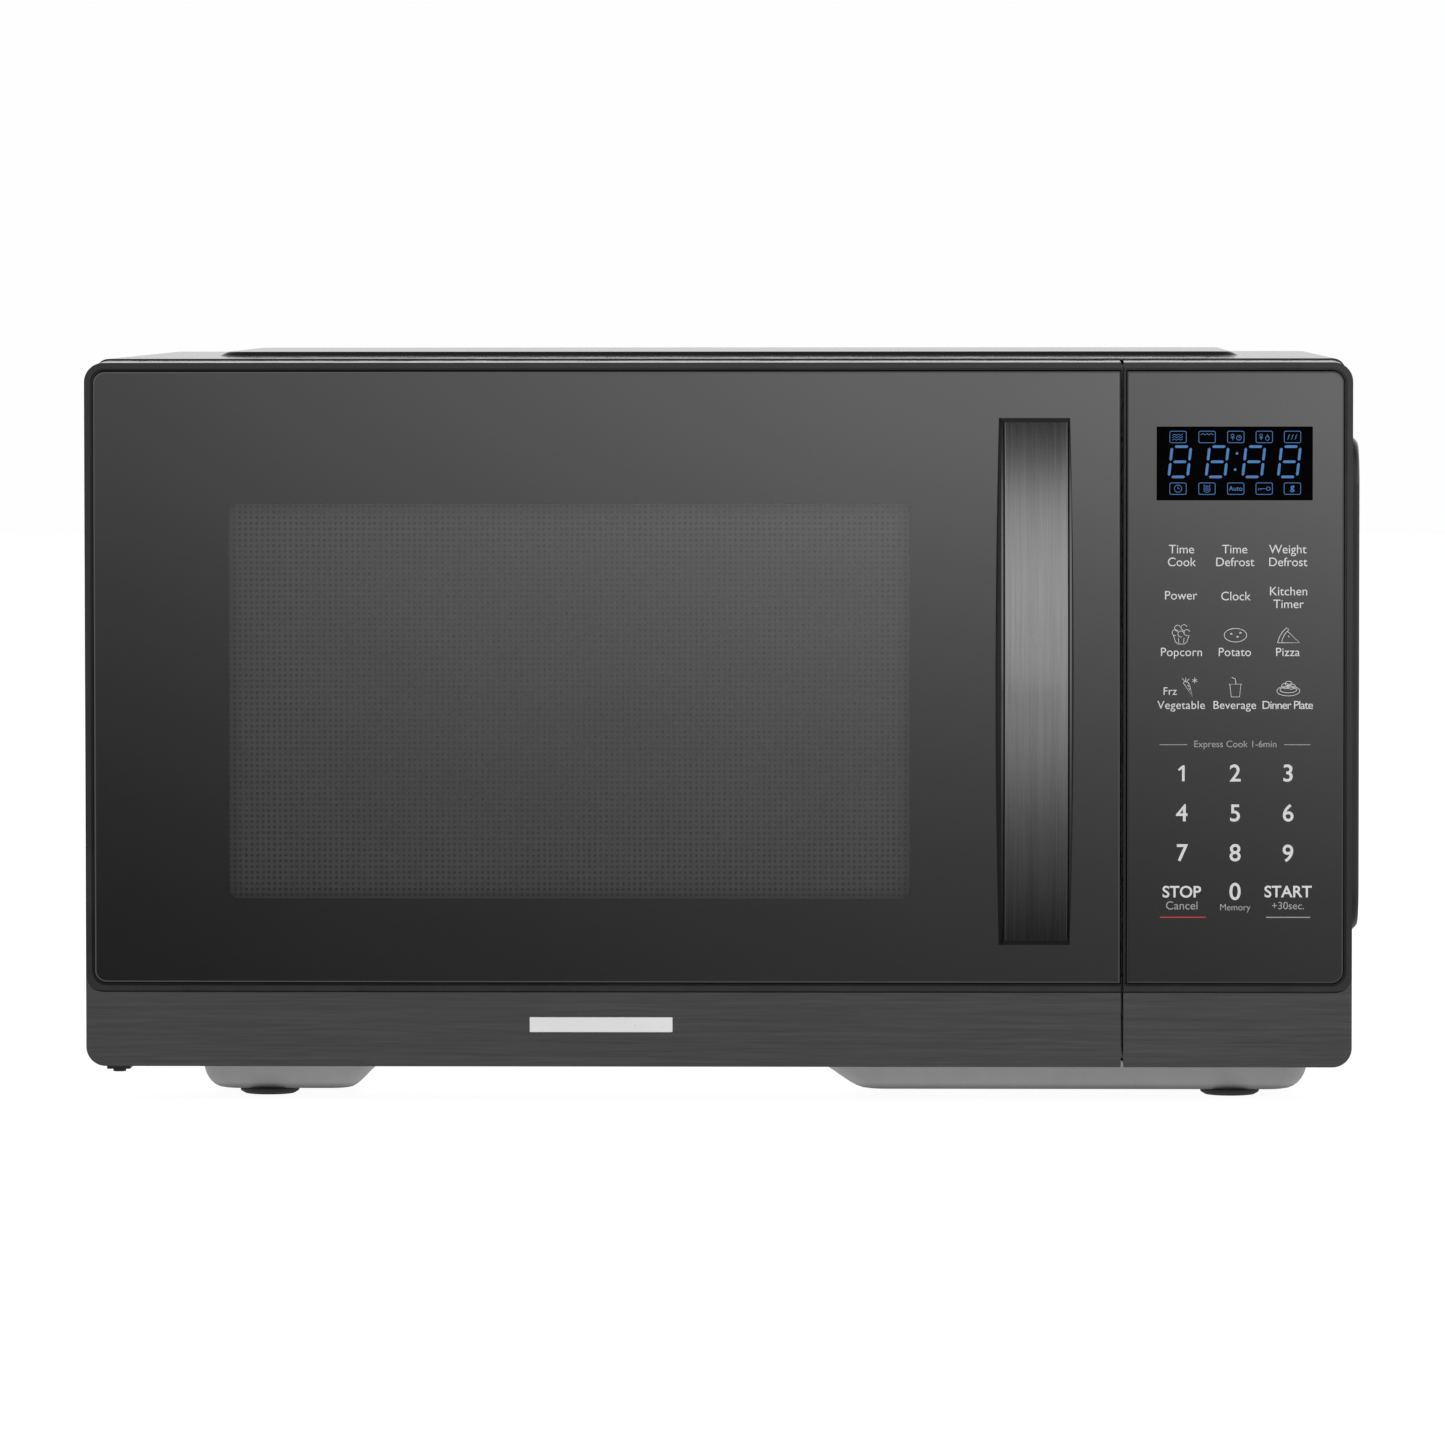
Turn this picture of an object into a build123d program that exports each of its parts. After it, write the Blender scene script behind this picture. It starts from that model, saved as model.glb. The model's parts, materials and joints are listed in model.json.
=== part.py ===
"""Countertop microwave oven with a side-hinged glass door and a touch control panel.

Millimetres. X runs left to right seen from the front, Y runs to the back, Z is up.
The origin is on the floor, under the middle of the whole oven.
"""

from build123d import *
from math import cos, radians, sin
import os

os.makedirs("parts", exist_ok=True)

# Front face: door on the left, control panel on the right
FRONT_Y = -179.0
FRONT_HALF_WIDTH = 243.5
FRONT_BOTTOM = 14.2
FRONT_TOP = 285.0
FRONT_CORNER = 7.5
DOOR_BACK = -146.0
DOOR_RIGHT = 154.8
PANEL_LEFT = 155.8
RING = 2.2
GROOVE = 0.8
WALL = 2.2
GLASS_THICK = 3.0
GLASS_CORNER = 5.0
DECK_THICK = 2.0
STRIP_TOP = 42.1
STRIP_THICK = 1.5
RING_BAR_TOP = 45.3
GLASS_BOTTOM = 46.1
GLASS_TOP = FRONT_TOP - RING - GROOVE
GLASS_BACK = FRONT_Y + GLASS_THICK
DECK_BACK = GLASS_BACK + DECK_THICK

# Viewing window in the door
WINDOW_LEFT = -188.3
WINDOW_RIGHT = 73.7
WINDOW_BOTTOM = 78.8
WINDOW_TOP = 230.8

# Sheet-metal case
SHEET = 0.8
CABINET_FRONT = -144.0
CABINET_REAR = 205.0
CABINET_HALF_WIDTH = 242.0
CABINET_TOP = 286.2
PAN_BOTTOM = 13.0
SIDE_BULGE = 7.2
TOP_RAISE = 1.8
PLATFORM_BOTTOM = 2.5
REAR_PANEL_Y = 203.0
SPACER_END = 213.0

# Oven cavity and its turntable
CAVITY_X = -57.0
CAVITY_WIDTH = 322.0
CAVITY_BOTTOM = 40.0
CAVITY_TOP = 254.0
CAVITY_REAR = 186.0
CAVITY_SHEET = 0.6
CAVITY_CORNER = 10.0
CAVITY_Z = (CAVITY_BOTTOM + CAVITY_TOP) / 2
CAVITY_HEIGHT = CAVITY_TOP - CAVITY_BOTTOM
CAVITY_RIGHT = CAVITY_X + CAVITY_WIDTH / 2
CAVITY_LEFT = CAVITY_X - CAVITY_WIDTH / 2
TURN_Y = 21.5
DISH_RADIUS = 118.0
DISH_DEPTH = 2.0
TRACK_Z = CAVITY_BOTTOM - DISH_DEPTH
ROLLER_RADIUS = 6.7
ROLLER_GAP = 0.3
ROLLER_TRACK = 98.0
ROLLER_Z = TRACK_Z + ROLLER_GAP + ROLLER_RADIUS
TRAY_BOTTOM = ROLLER_Z + ROLLER_RADIUS + ROLLER_GAP
TRAY_RADIUS = 135.0

# Door hinge, latch and handle
HINGE_X = -232.0
HINGE_Y = -163.0
PIN_RADIUS = 2.5
RUNNING_GAP = 0.05
LATCH_X = 140.0
LATCH_Z = (87.0, 225.0)
HANDLE_X = 121.5
HANDLE_BOTTOM = 60.8
HANDLE_TOP = 264.2
HANDLE_REACH = 34.0
HANDLE_WIDTH = 30.4
HANDLE_END_WIDTH = 27.5
HANDLE_THICK = 9.5
HANDLE_SCREW_Z = (73.0, 252.6)
FACE_WIDTH = 24.6
FACE_THICK = 1.0
SCREW_RADIUS = 2.0

# Centres of the working parts in the right-hand compartment
FAN_X = 178.0
FAN_Z = 190.0
FAN_RADIUS = 48.0
TRANSFORMER = (172.0, -20.0)
CAPACITOR = (190.0, 78.0)
SWITCH_Z = (78.0, 96.0, 225.0)
FEET = ((-176.0, -131.0), (198.0, -131.0), (-176.0, 165.0), (198.0, 165.0))


def facing_front(y):
    """Plane at depth y. Its local axes are world X and Z, and it extrudes towards the front."""
    return Plane.XZ.offset(-y)


def block(x0, x1, y0, y1, z0, z1, mode=Mode.ADD):
    """Box between two corners, in world coordinates."""
    with Locations(((x0 + x1) / 2, (y0 + y1) / 2, (z0 + z1) / 2)):
        Box(x1 - x0, y1 - y0, z1 - z0, mode=mode)


def rod(radius, start, direction, length, mode=Mode.ADD):
    """Cylinder from a start point along a direction."""
    with Locations(Plane(start, z_dir=direction)):
        Cylinder(radius, length, align=(Align.CENTER, Align.CENTER, Align.MIN), mode=mode)


def rounded(x0, x1, z0, z1, left_radius, right_radius, y):
    """Upright rectangle at depth y whose left and right corners have their own radii."""
    with BuildSketch(facing_front(y)) as outline:
        with Locations(((x0 + x1) / 2, (z0 + z1) / 2)):
            Rectangle(x1 - x0, z1 - z0)
        fillet(outline.vertices().group_by(Axis.X)[0], left_radius)
        fillet(outline.vertices().group_by(Axis.X)[-1], right_radius)
    return outline.sketch


def tapered_pad(plane, width, height, radius, rise, slope, mode=Mode.ADD):
    """Pressed panel with sloping edges, width by height at its foot and smaller at its top."""
    with BuildSketch(plane) as foot:
        RectangleRounded(width, height, radius)
    with BuildSketch(plane.offset(rise)) as crest:
        RectangleRounded(width - 2 * slope, height - 2 * slope, radius - slope / 2)
    loft([foot.sketch, crest.sketch], mode=mode)


def save(piece, name):
    """Label a finished piece and write it as its own file."""
    piece.part.label = name
    export_step(piece.part, f"parts/{name}.step")


# ---------------------------------------------------------------- case

TOP_PANEL_FRONT = -29.0
TOP_PANEL_REAR = 191.0
TOP_PANEL_WIDTH = 406.0
SIDE_PANEL_FRONT = -110.0
SIDE_PANEL_REAR = 188.0
SIDE_PANEL_BOTTOM = 56.0
SIDE_PANEL_TOP = 260.0
VENT_SLOT = (2.4, 22.0)


def cabinet_form(inset, mode):
    """The wrap's outside shape, shrunk by inset: body, raised top panel and pressed sides."""
    half = CABINET_HALF_WIDTH - inset
    top = CABINET_TOP - inset
    with BuildSketch(facing_front(CABINET_REAR)) as body:
        with Locations((0, (top + PAN_BOTTOM) / 2)):
            Rectangle(2 * half, top - PAN_BOTTOM)
        fillet(body.vertices().group_by(Axis.Y)[-1], 5 - inset)
    extrude(body.sketch, amount=CABINET_REAR - CABINET_FRONT, mode=mode)
    top_middle = (TOP_PANEL_FRONT + TOP_PANEL_REAR) / 2
    top_plane = Plane((0, top_middle, top), z_dir=(0, 0, 1))
    top_depth = TOP_PANEL_REAR - TOP_PANEL_FRONT
    tapered_pad(top_plane, TOP_PANEL_WIDTH - 2 * inset, top_depth - 2 * inset, 24, TOP_RAISE, 5, mode)
    side_middle = (SIDE_PANEL_FRONT + SIDE_PANEL_REAR) / 2
    side_z = (SIDE_PANEL_BOTTOM + SIDE_PANEL_TOP) / 2
    side_depth = SIDE_PANEL_REAR - SIDE_PANEL_FRONT - 2 * inset
    side_height = SIDE_PANEL_TOP - SIDE_PANEL_BOTTOM - 2 * inset
    for side in (-1, 1):
        side_plane = Plane((side * half, side_middle, side_z), x_dir=(0, 1, 0), z_dir=(side, 0, 0))
        tapered_pad(side_plane, side_depth, side_height, 24, SIDE_BULGE, 8, mode)


with BuildPart() as outer_cabinet:
    cabinet_form(0, Mode.ADD)
    cabinet_form(SHEET, Mode.SUBTRACT)
    with BuildSketch(Plane.YZ.offset(CABINET_HALF_WIDTH)) as right_vents:
        with Locations((60, 200)):
            with GridLocations(6.5, 30, 16, 2):
                SlotOverall(VENT_SLOT[1], VENT_SLOT[0], rotation=90)
    extrude(right_vents.sketch, amount=10, both=True, mode=Mode.SUBTRACT)
    with BuildSketch(Plane.YZ.offset(-CABINET_HALF_WIDTH)) as left_vents:
        with Locations((110, 215)):
            with GridLocations(6.5, 30, 12, 1):
                SlotOverall(VENT_SLOT[1], VENT_SLOT[0], rotation=90)
    extrude(left_vents.sketch, amount=10, both=True, mode=Mode.SUBTRACT)
save(outer_cabinet, "outer_cabinet")

PAN_FRONT = -143.0
PAN_HALF_WIDTH = 240.8
PLATFORM_DROP = PAN_BOTTOM - PLATFORM_BOTTOM
FOOT_STEM_RADIUS = 3.0
# Each platform: left, right, front, rear of its rim, and the slopes of its left and right ends
PLATFORMS = (
    (-201.0, -130.0, PAN_FRONT, -95.0, 11.0, 15.0),
    (39.0, 228.0, PAN_FRONT, -95.0, 18.0, 7.0),
    (-204.0, -130.0, 125.0, 198.0, 9.0, 15.0),
    (130.0, 226.0, 125.0, 198.0, 15.0, 9.0),
)


def platform(left, right, front, rear, left_slope, right_slope, inset, mode):
    """One pressed-down platform of the pan, shrunk by inset for its inner side."""
    centre = ((left + right) / 2, (front + rear) / 2, PAN_BOTTOM + inset)
    plane = Plane(centre, x_dir=(1, 0, 0), z_dir=(0, 0, -1))
    width = right - left - 2 * inset
    depth = rear - front - 2 * inset
    with BuildSketch(plane) as rim:
        RectangleRounded(width, depth, 9)
    with BuildSketch(plane.offset(PLATFORM_DROP)) as floor:
        with Locations(((left_slope - right_slope) / 2, 0)):
            RectangleRounded(width - left_slope - right_slope, depth - 8, 7)
    loft([rim.sketch, floor.sketch], mode=mode)


with BuildPart() as base_plate:
    block(-PAN_HALF_WIDTH, PAN_HALF_WIDTH, PAN_FRONT, REAR_PANEL_Y, PAN_BOTTOM, PAN_BOTTOM + SHEET)
    for sizes in PLATFORMS:
        platform(*sizes, 0, Mode.ADD)
    for sizes in PLATFORMS:
        platform(*sizes, SHEET, Mode.SUBTRACT)
    for x, y in FEET:
        rod(FOOT_STEM_RADIUS, (x, y, 0), (0, 0, 1), 20, mode=Mode.SUBTRACT)
    with BuildSketch(Plane.XY.offset(PAN_BOTTOM)) as floor_vents:
        with Locations((80, 40)):
            with GridLocations(7, 30, 10, 2):
                SlotOverall(24, 3, rotation=90)
    extrude(floor_vents.sketch, amount=SHEET, mode=Mode.SUBTRACT)
save(base_plate, "base_plate")

GLAND = (215.0, 50.0)
GLAND_RADIUS = 8.0
with BuildPart() as rear_panel:
    rear_sketch = rounded(-240.8, 240.8, PAN_BOTTOM + 1, CABINET_TOP - 1.2, 3, 3, REAR_PANEL_Y + SHEET)
    extrude(rear_sketch, amount=SHEET)
    with BuildSketch(facing_front(REAR_PANEL_Y + SHEET)) as grille:
        with Locations((FAN_X, FAN_Z)):
            with HexLocations(4.2, 10, 10):
                Circle(2.6)
        with Locations(GLAND):
            Circle(GLAND_RADIUS)
        with Locations((-140, 215)):
            with GridLocations(8, 26, 12, 2):
                SlotOverall(20, 3, rotation=90)
    extrude(grille.sketch, amount=SHEET, mode=Mode.SUBTRACT)
save(rear_panel, "rear_panel")

with BuildPart() as rear_spacers:
    for x in (-190.0, 60.0):
        for z in (60.0, 240.0):
            tapered_pad(Plane((x, REAR_PANEL_Y + SHEET, z), x_dir=(1, 0, 0), z_dir=(0, 1, 0)),
                        20, 30, 6, SPACER_END - REAR_PANEL_Y - SHEET, 3)
save(rear_spacers, "rear_spacers")

with BuildPart() as rubber_feet:
    for x, y in FEET:
        with BuildSketch(Plane.XZ.offset(-y)) as foot_profile:
            with BuildLine() as foot_line:
                Polyline((x, 0), (x + 9.5, 0), (x + 11.5, 1.2), (x + 11.5, PLATFORM_BOTTOM),
                         (x + FOOT_STEM_RADIUS, PLATFORM_BOTTOM), (x + FOOT_STEM_RADIUS, 6.5), (x, 6.5),
                         close=True)
            make_face()
        revolve(foot_profile.sketch, axis=Axis((x, y, 0), (0, 0, 1)))
save(rubber_feet, "rubber_feet")

REAR_SCREWS = ((-225, 274), (-75, 274), (75, 274), (225, 274), (-225, 26), (75, 26), (225, 26))
with BuildPart() as cabinet_screws:
    for x, z in REAR_SCREWS:
        head = (x, REAR_PANEL_Y + SHEET, z)
        rod(3.8, head, (0, 1, 0), 1.6)
save(cabinet_screws, "cabinet_screws")

with BuildPart() as cord_gland:
    x, z = GLAND
    rod(11, (x, REAR_PANEL_Y + SHEET, z), (0, 1, 0), 4)
    rod(GLAND_RADIUS, (x, REAR_PANEL_Y, z), (0, 1, 0), SHEET)
    rod(10, (x, REAR_PANEL_Y - 7, z), (0, 1, 0), 7)
    rod(3.6, (x, REAR_PANEL_Y - 10, z), (0, 1, 0), 20, mode=Mode.SUBTRACT)
save(cord_gland, "cord_gland")

# ---------------------------------------------------------------- cavity

FLANGE_RIGHT = 156.0
PORT = (30.0, 110.0, 165.0, 215.0)
LAMP = (-50.0, 215.0)
LATCH_SLOT = (15.0, 38.0)
LATCH_SLOT_X = LATCH_X + 1.2

with BuildPart() as front_plate:
    extrude(rounded(-241.0, FLANGE_RIGHT, 15, 284, 4, 1, CABINET_FRONT + SHEET), amount=SHEET)
    with BuildSketch(facing_front(CABINET_FRONT + SHEET)) as plate_holes:
        with Locations((CAVITY_X, CAVITY_Z)):
            RectangleRounded(CAVITY_WIDTH, CAVITY_HEIGHT, CAVITY_CORNER)
        for z in LATCH_Z:
            with Locations((LATCH_SLOT_X, z)):
                Rectangle(*LATCH_SLOT)
        with Locations((HINGE_X, 277.0)):
            Rectangle(10, 3)
    extrude(plate_holes.sketch, amount=SHEET, mode=Mode.SUBTRACT)
save(front_plate, "front_plate")

with BuildPart() as cavity_box:
    with BuildSketch(facing_front(CAVITY_REAR + CAVITY_SHEET)) as outside:
        with Locations((CAVITY_X, CAVITY_Z)):
            RectangleRounded(CAVITY_WIDTH + 2 * CAVITY_SHEET, CAVITY_HEIGHT + 2 * CAVITY_SHEET,
                             CAVITY_CORNER + CAVITY_SHEET)
    extrude(outside.sketch, amount=CAVITY_REAR + CAVITY_SHEET - CABINET_FRONT - SHEET)
    rod(DISH_RADIUS + 1, (CAVITY_X, TURN_Y, TRACK_Z - CAVITY_SHEET), (0, 0, 1), DISH_DEPTH)
    with BuildSketch(facing_front(CAVITY_REAR)) as inside:
        with Locations((CAVITY_X, CAVITY_Z)):
            RectangleRounded(CAVITY_WIDTH, CAVITY_HEIGHT, CAVITY_CORNER)
    extrude(inside.sketch, amount=CAVITY_REAR - CABINET_FRONT, mode=Mode.SUBTRACT)
    rod(DISH_RADIUS, (CAVITY_X, TURN_Y, TRACK_Z), (0, 0, 1), DISH_DEPTH + 1, mode=Mode.SUBTRACT)
    rod(7, (CAVITY_X, TURN_Y, TRACK_Z - 2), (0, 0, 1), 5, mode=Mode.SUBTRACT)
    block(CAVITY_RIGHT - 1, CAVITY_RIGHT + 2, PORT[0], PORT[1], PORT[2], PORT[3], mode=Mode.SUBTRACT)
    with BuildSketch(Plane.YZ.offset(CAVITY_RIGHT)) as right_holes:
        with Locations(LAMP):
            with GridLocations(5.5, 5.5, 7, 5):
                Circle(1.6)
        with Locations((0, 190)):
            with GridLocations(5.5, 5.5, 5, 9):
                Circle(1.6)
    extrude(right_holes.sketch, amount=2, both=True, mode=Mode.SUBTRACT)
    with BuildSketch(Plane.YZ.offset(CAVITY_LEFT)) as left_holes:
        with Locations((110, 215)):
            with GridLocations(5.5, 5.5, 12, 5):
                Circle(1.6)
    extrude(left_holes.sketch, amount=2, both=True, mode=Mode.SUBTRACT)
save(cavity_box, "cavity_box")

GUIDE_RIGHT = 150.0
with BuildPart() as waveguide:
    outer_x = CAVITY_RIGHT + CAVITY_SHEET
    block(outer_x, GUIDE_RIGHT, PORT[0] - 6, PORT[1] + 20, PORT[2] - 6, PORT[3] + 6)
    block(outer_x, GUIDE_RIGHT - SHEET, PORT[0] - 5.2, PORT[1] + 19.2, PORT[2] - 5.2, PORT[3] + 5.2,
          mode=Mode.SUBTRACT)
    rod(12, (GUIDE_RIGHT - 2, 79.5, FAN_Z), (1, 0, 0), 4, mode=Mode.SUBTRACT)
save(waveguide, "waveguide")

with BuildPart() as waveguide_cover:
    block(CAVITY_RIGHT - 0.6, CAVITY_RIGHT, PORT[0] - 10, PORT[1] + 10, PORT[2] - 10, PORT[3] + 10)
save(waveguide_cover, "waveguide_cover")

# ---------------------------------------------------------------- microwave generator

YOKE = (151.0, 207.0, 32.0, 127.0, 150.0, 230.0)
with BuildPart() as magnetron_yoke:
    block(*YOKE)
    block(YOKE[0] + 1.5, YOKE[1] - 1.5, YOKE[2], YOKE[3], YOKE[4] + 1.5, YOKE[5] - 1.5, mode=Mode.SUBTRACT)
    rod(12, (YOKE[0] - 1, 79.5, FAN_Z), (1, 0, 0), 60, mode=Mode.SUBTRACT)
    block(YOKE[1], 236, 58, 104, 168, 212)
save(magnetron_yoke, "magnetron_yoke")

FIN_STEP = 8.5
with BuildPart() as magnetron_tube:
    rod(10, (128, 79.5, FAN_Z), (1, 0, 0), YOKE[0] + 2 - 128)
    fillet(magnetron_tube.edges().group_by(Axis.X)[0], 4)
    rod(20, (YOKE[0] + 2, 79.5, FAN_Z), (1, 0, 0), 52)
    for count in range(6):
        x = YOKE[0] + 5 + FIN_STEP * count
        block(x, x + 1, 44, 115, YOKE[4] + 2, YOKE[5] - 2)
save(magnetron_tube, "magnetron_tube")

CORE_X, CORE_Y = TRANSFORMER
CORE_BOTTOM = PAN_BOTTOM + SHEET
LIMB = 16.0
with BuildPart() as transformer_core:
    block(CORE_X - 48, CORE_X + 48, CORE_Y - 30, CORE_Y + 30, CORE_BOTTOM + 2, CORE_BOTTOM + 82)
    for side in (-1, 1):
        block(CORE_X + side * 32 - 8, CORE_X + side * 32 + 8, CORE_Y - 31, CORE_Y + 31,
              CORE_BOTTOM + 2 + LIMB, CORE_BOTTOM + 82 - LIMB, mode=Mode.SUBTRACT)
    block(CORE_X - 54, CORE_X + 54, CORE_Y - 34, CORE_Y + 34, CORE_BOTTOM, CORE_BOTTOM + 2)
save(transformer_core, "transformer_core")

with BuildPart() as transformer_windings:
    for low, high in ((19.0, 40.0), (43.0, 65.0)):
        with BuildSketch(Plane.XY.offset(CORE_BOTTOM + low)) as coil:
            with Locations((CORE_X, CORE_Y)):
                RectangleRounded(78, 86, 12)
                Rectangle(48, 60.4, mode=Mode.SUBTRACT)
        extrude(coil.sketch, amount=high - low)
save(transformer_windings, "transformer_windings")

CAN_BOTTOM = CORE_BOTTOM + 3
CAN_HEIGHT = 80.0
with BuildPart() as capacitor:
    with BuildSketch(Plane.XY.offset(CAN_BOTTOM)) as can:
        with Locations(CAPACITOR):
            SlotOverall(52, 33)
    extrude(can.sketch, amount=CAN_HEIGHT)
    fillet(capacitor.edges().group_by(Axis.Z)[-1], 2)
    for side in (-10, 10):
        block(CAPACITOR[0] + side - 3, CAPACITOR[0] + side + 3, CAPACITOR[1] - 0.4, CAPACITOR[1] + 0.4,
              CAN_BOTTOM + CAN_HEIGHT, CAN_BOTTOM + CAN_HEIGHT + 9)
save(capacitor, "capacitor")

with BuildPart() as capacitor_clamp:
    with BuildSketch(Plane.XY.offset(CAN_BOTTOM + 30)) as band:
        with Locations(CAPACITOR):
            SlotOverall(54, 35)
            SlotOverall(52, 33, mode=Mode.SUBTRACT)
    extrude(band.sketch, amount=14)
    clamp_edge = CAPACITOR[0] + 27
    block(clamp_edge - 0.6, clamp_edge + 0.6, CAPACITOR[1] - 7, CAPACITOR[1] + 7, CORE_BOTTOM, CAN_BOTTOM + 44)
    block(clamp_edge, clamp_edge + 16, CAPACITOR[1] - 7, CAPACITOR[1] + 7, CORE_BOTTOM, CORE_BOTTOM + 1.2)
save(capacitor_clamp, "capacitor_clamp")

DIODE = (150.0, 78.0)
with BuildPart() as high_voltage_diode:
    rod(3.5, (*DIODE, 45), (0, 0, 1), 18)
    rod(0.8, (*DIODE, CORE_BOTTOM + 1), (0, 0, 1), 92)
    rod(5, (*DIODE, CORE_BOTTOM), (0, 0, 1), 1)
    rod(0.8, (DIODE[0], DIODE[1], 104), (1, 0, 0), 27)
save(high_voltage_diode, "high_voltage_diode")

# ---------------------------------------------------------------- cooling and electrics

SHROUD_FRONT = 172.0
SHROUD_REAR = 202.5
with BuildPart() as fan_shroud:
    block(FAN_X - 58, FAN_X + 58, SHROUD_FRONT, SHROUD_REAR, FAN_Z - 58, FAN_Z + 58)
    rod(FAN_RADIUS + 4, (FAN_X, SHROUD_FRONT - 1, FAN_Z), (0, 1, 0), 40, mode=Mode.SUBTRACT)
    for side in (-1, 1):
        spoke_z = FAN_Z + side * 20
        block(FAN_X - 52, FAN_X + 52, SHROUD_FRONT - 4, SHROUD_FRONT, spoke_z - 3, spoke_z + 3)
save(fan_shroud, "fan_shroud")

MOTOR_FRONT = 142.0
MOTOR_REAR = SHROUD_FRONT - 4
with BuildPart() as fan_motor:
    block(FAN_X - 28, FAN_X + 28, MOTOR_FRONT + 6, MOTOR_REAR, FAN_Z - 24, FAN_Z + 24)
    block(FAN_X - 18, FAN_X + 18, MOTOR_FRONT, MOTOR_REAR - 1, FAN_Z - 40, FAN_Z - 24)
    rod(9, (FAN_X, MOTOR_FRONT, FAN_Z), (0, 1, 0), 6)
    rod(2 + RUNNING_GAP, (FAN_X, MOTOR_FRONT + 2, FAN_Z), (0, 1, 0), 60, mode=Mode.SUBTRACT)
save(fan_motor, "fan_motor")

with BuildPart() as fan_shaft:
    rod(2, (FAN_X, MOTOR_FRONT + 4, FAN_Z), (0, 1, 0), 46)
save(fan_shaft, "fan_shaft")

BLADE_Y = 178.0
BLADE_COUNT = 5
with BuildPart() as fan_blade:
    rod(11, (FAN_X, BLADE_Y, FAN_Z), (0, 1, 0), 14)
    for count in range(BLADE_COUNT):
        turn = 360 / BLADE_COUNT * count
        with Locations(Pos(FAN_X, BLADE_Y + 7, FAN_Z) * Rot(0, turn, 0) * Pos(29, 0, 0) * Rot(32, 0, 0)):
            Box(38, 1.6, 24)
    with BuildSketch(facing_front(BLADE_Y + 30)) as sweep_circle:
        with Locations((FAN_X, FAN_Z)):
            Circle(FAN_RADIUS)
    extrude(sweep_circle.sketch, amount=50, mode=Mode.INTERSECT)
    rod(2, (FAN_X, BLADE_Y - 1, FAN_Z), (0, 1, 0), 20, mode=Mode.SUBTRACT)
save(fan_blade, "fan_blade")

with BuildPart() as air_guide:
    block(outer_x, YOKE[1], -25, 30, 145, 235)
    block(outer_x, YOKE[1] - 1.5, -23.5, 30, 146.5, 233.5, mode=Mode.SUBTRACT)
    block(outer_x - 1, GUIDE_RIGHT + 1.5, 22, 31, PORT[2] - 7, PORT[3] + 7, mode=Mode.SUBTRACT)
save(air_guide, "air_guide")

with BuildPart() as lamp_holder:
    y, z = LAMP
    block(outer_x, outer_x + 40, y - 22, y + 22, z - 16, z + 16)
    block(outer_x, outer_x + 30, y - 20, y + 20, z - 14, z + 14, mode=Mode.SUBTRACT)
save(lamp_holder, "lamp_holder")

BULB_RADIUS = 10.0
with BuildPart() as lamp_bulb:
    rod(BULB_RADIUS, (outer_x + 5, *LAMP), (1, 0, 0), 20)
    fillet(lamp_bulb.edges().filter_by(GeomType.CIRCLE).group_by(Axis.X)[0], 8)
    rod(7, (outer_x + 25, *LAMP), (1, 0, 0), 5)
save(lamp_bulb, "lamp_bulb")

with BuildPart() as thermal_cutouts:
    for x, y, z in ((CAVITY_X, 120, CAVITY_TOP + CAVITY_SHEET), (178.0, 80.0, YOKE[5])):
        rod(8, (x, y, z), (0, 0, 1), 7)
        block(x - 12, x + 12, y - 4, y + 4, z, z + 0.8)
        for side in (-4, 4):
            block(x + side - 0.4, x + side + 0.4, y - 3, y + 3, z + 7, z + 14)
save(thermal_cutouts, "thermal_cutouts")

BOARD_Z = FAN_Z + 58 + 3
with BuildPart() as line_filter_board:
    block(125, 231, 174, 200, BOARD_Z, BOARD_Z + 1.6)
    for x in (132, 224):
        rod(2.5, (x, 187, BOARD_Z - 3), (0, 0, 1), 3)
    block(140, 158, 178, 196, BOARD_Z + 1.6, BOARD_Z + 16)
    rod(9, (180, 187, BOARD_Z + 1.6), (0, 0, 1), 11)
    block(200, 220, 183, 191, BOARD_Z + 1.6, BOARD_Z + 9)
save(line_filter_board, "line_filter_board")

# ---------------------------------------------------------------- turntable

COUPLER_RADIUS = 3.5
MOTOR_TOP = TRACK_Z - CAVITY_SHEET
with BuildPart() as turntable_motor:
    rod(25, (CAVITY_X, TURN_Y, MOTOR_TOP - 17), (0, 0, 1), 17)
    block(CAVITY_X - 32, CAVITY_X + 32, TURN_Y - 7, TURN_Y + 7, MOTOR_TOP - 1, MOTOR_TOP)
    block(CAVITY_X - 12, CAVITY_X + 12, TURN_Y - 33, TURN_Y - 20, MOTOR_TOP - 14, MOTOR_TOP - 4)
    rod(COUPLER_RADIUS + RUNNING_GAP, (CAVITY_X, TURN_Y, MOTOR_TOP - 12), (0, 0, 1), 20, mode=Mode.SUBTRACT)
save(turntable_motor, "turntable_motor")

LOBE_REACH = 15.0
with BuildPart() as turntable_coupler:
    rod(COUPLER_RADIUS, (CAVITY_X, TURN_Y, MOTOR_TOP - 11), (0, 0, 1), 20)
    rod(9, (CAVITY_X, TURN_Y, TRACK_Z + 2), (0, 0, 1), TRAY_BOTTOM - TRACK_Z - 2)
    for count in range(3):
        centre = Pos(CAVITY_X, TURN_Y, TRAY_BOTTOM - 4)
        with Locations(centre * Rot(0, 0, 120 * count) * Pos(LOBE_REACH / 2, 0, 0)):
            Box(LOBE_REACH, 7, 8)
    block(CAVITY_X - 30, CAVITY_X + 30, TURN_Y - 30, TURN_Y + 30, TRACK_Z - 20, TRAY_BOTTOM,
          mode=Mode.INTERSECT)
save(turntable_coupler, "turntable_coupler")

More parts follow.
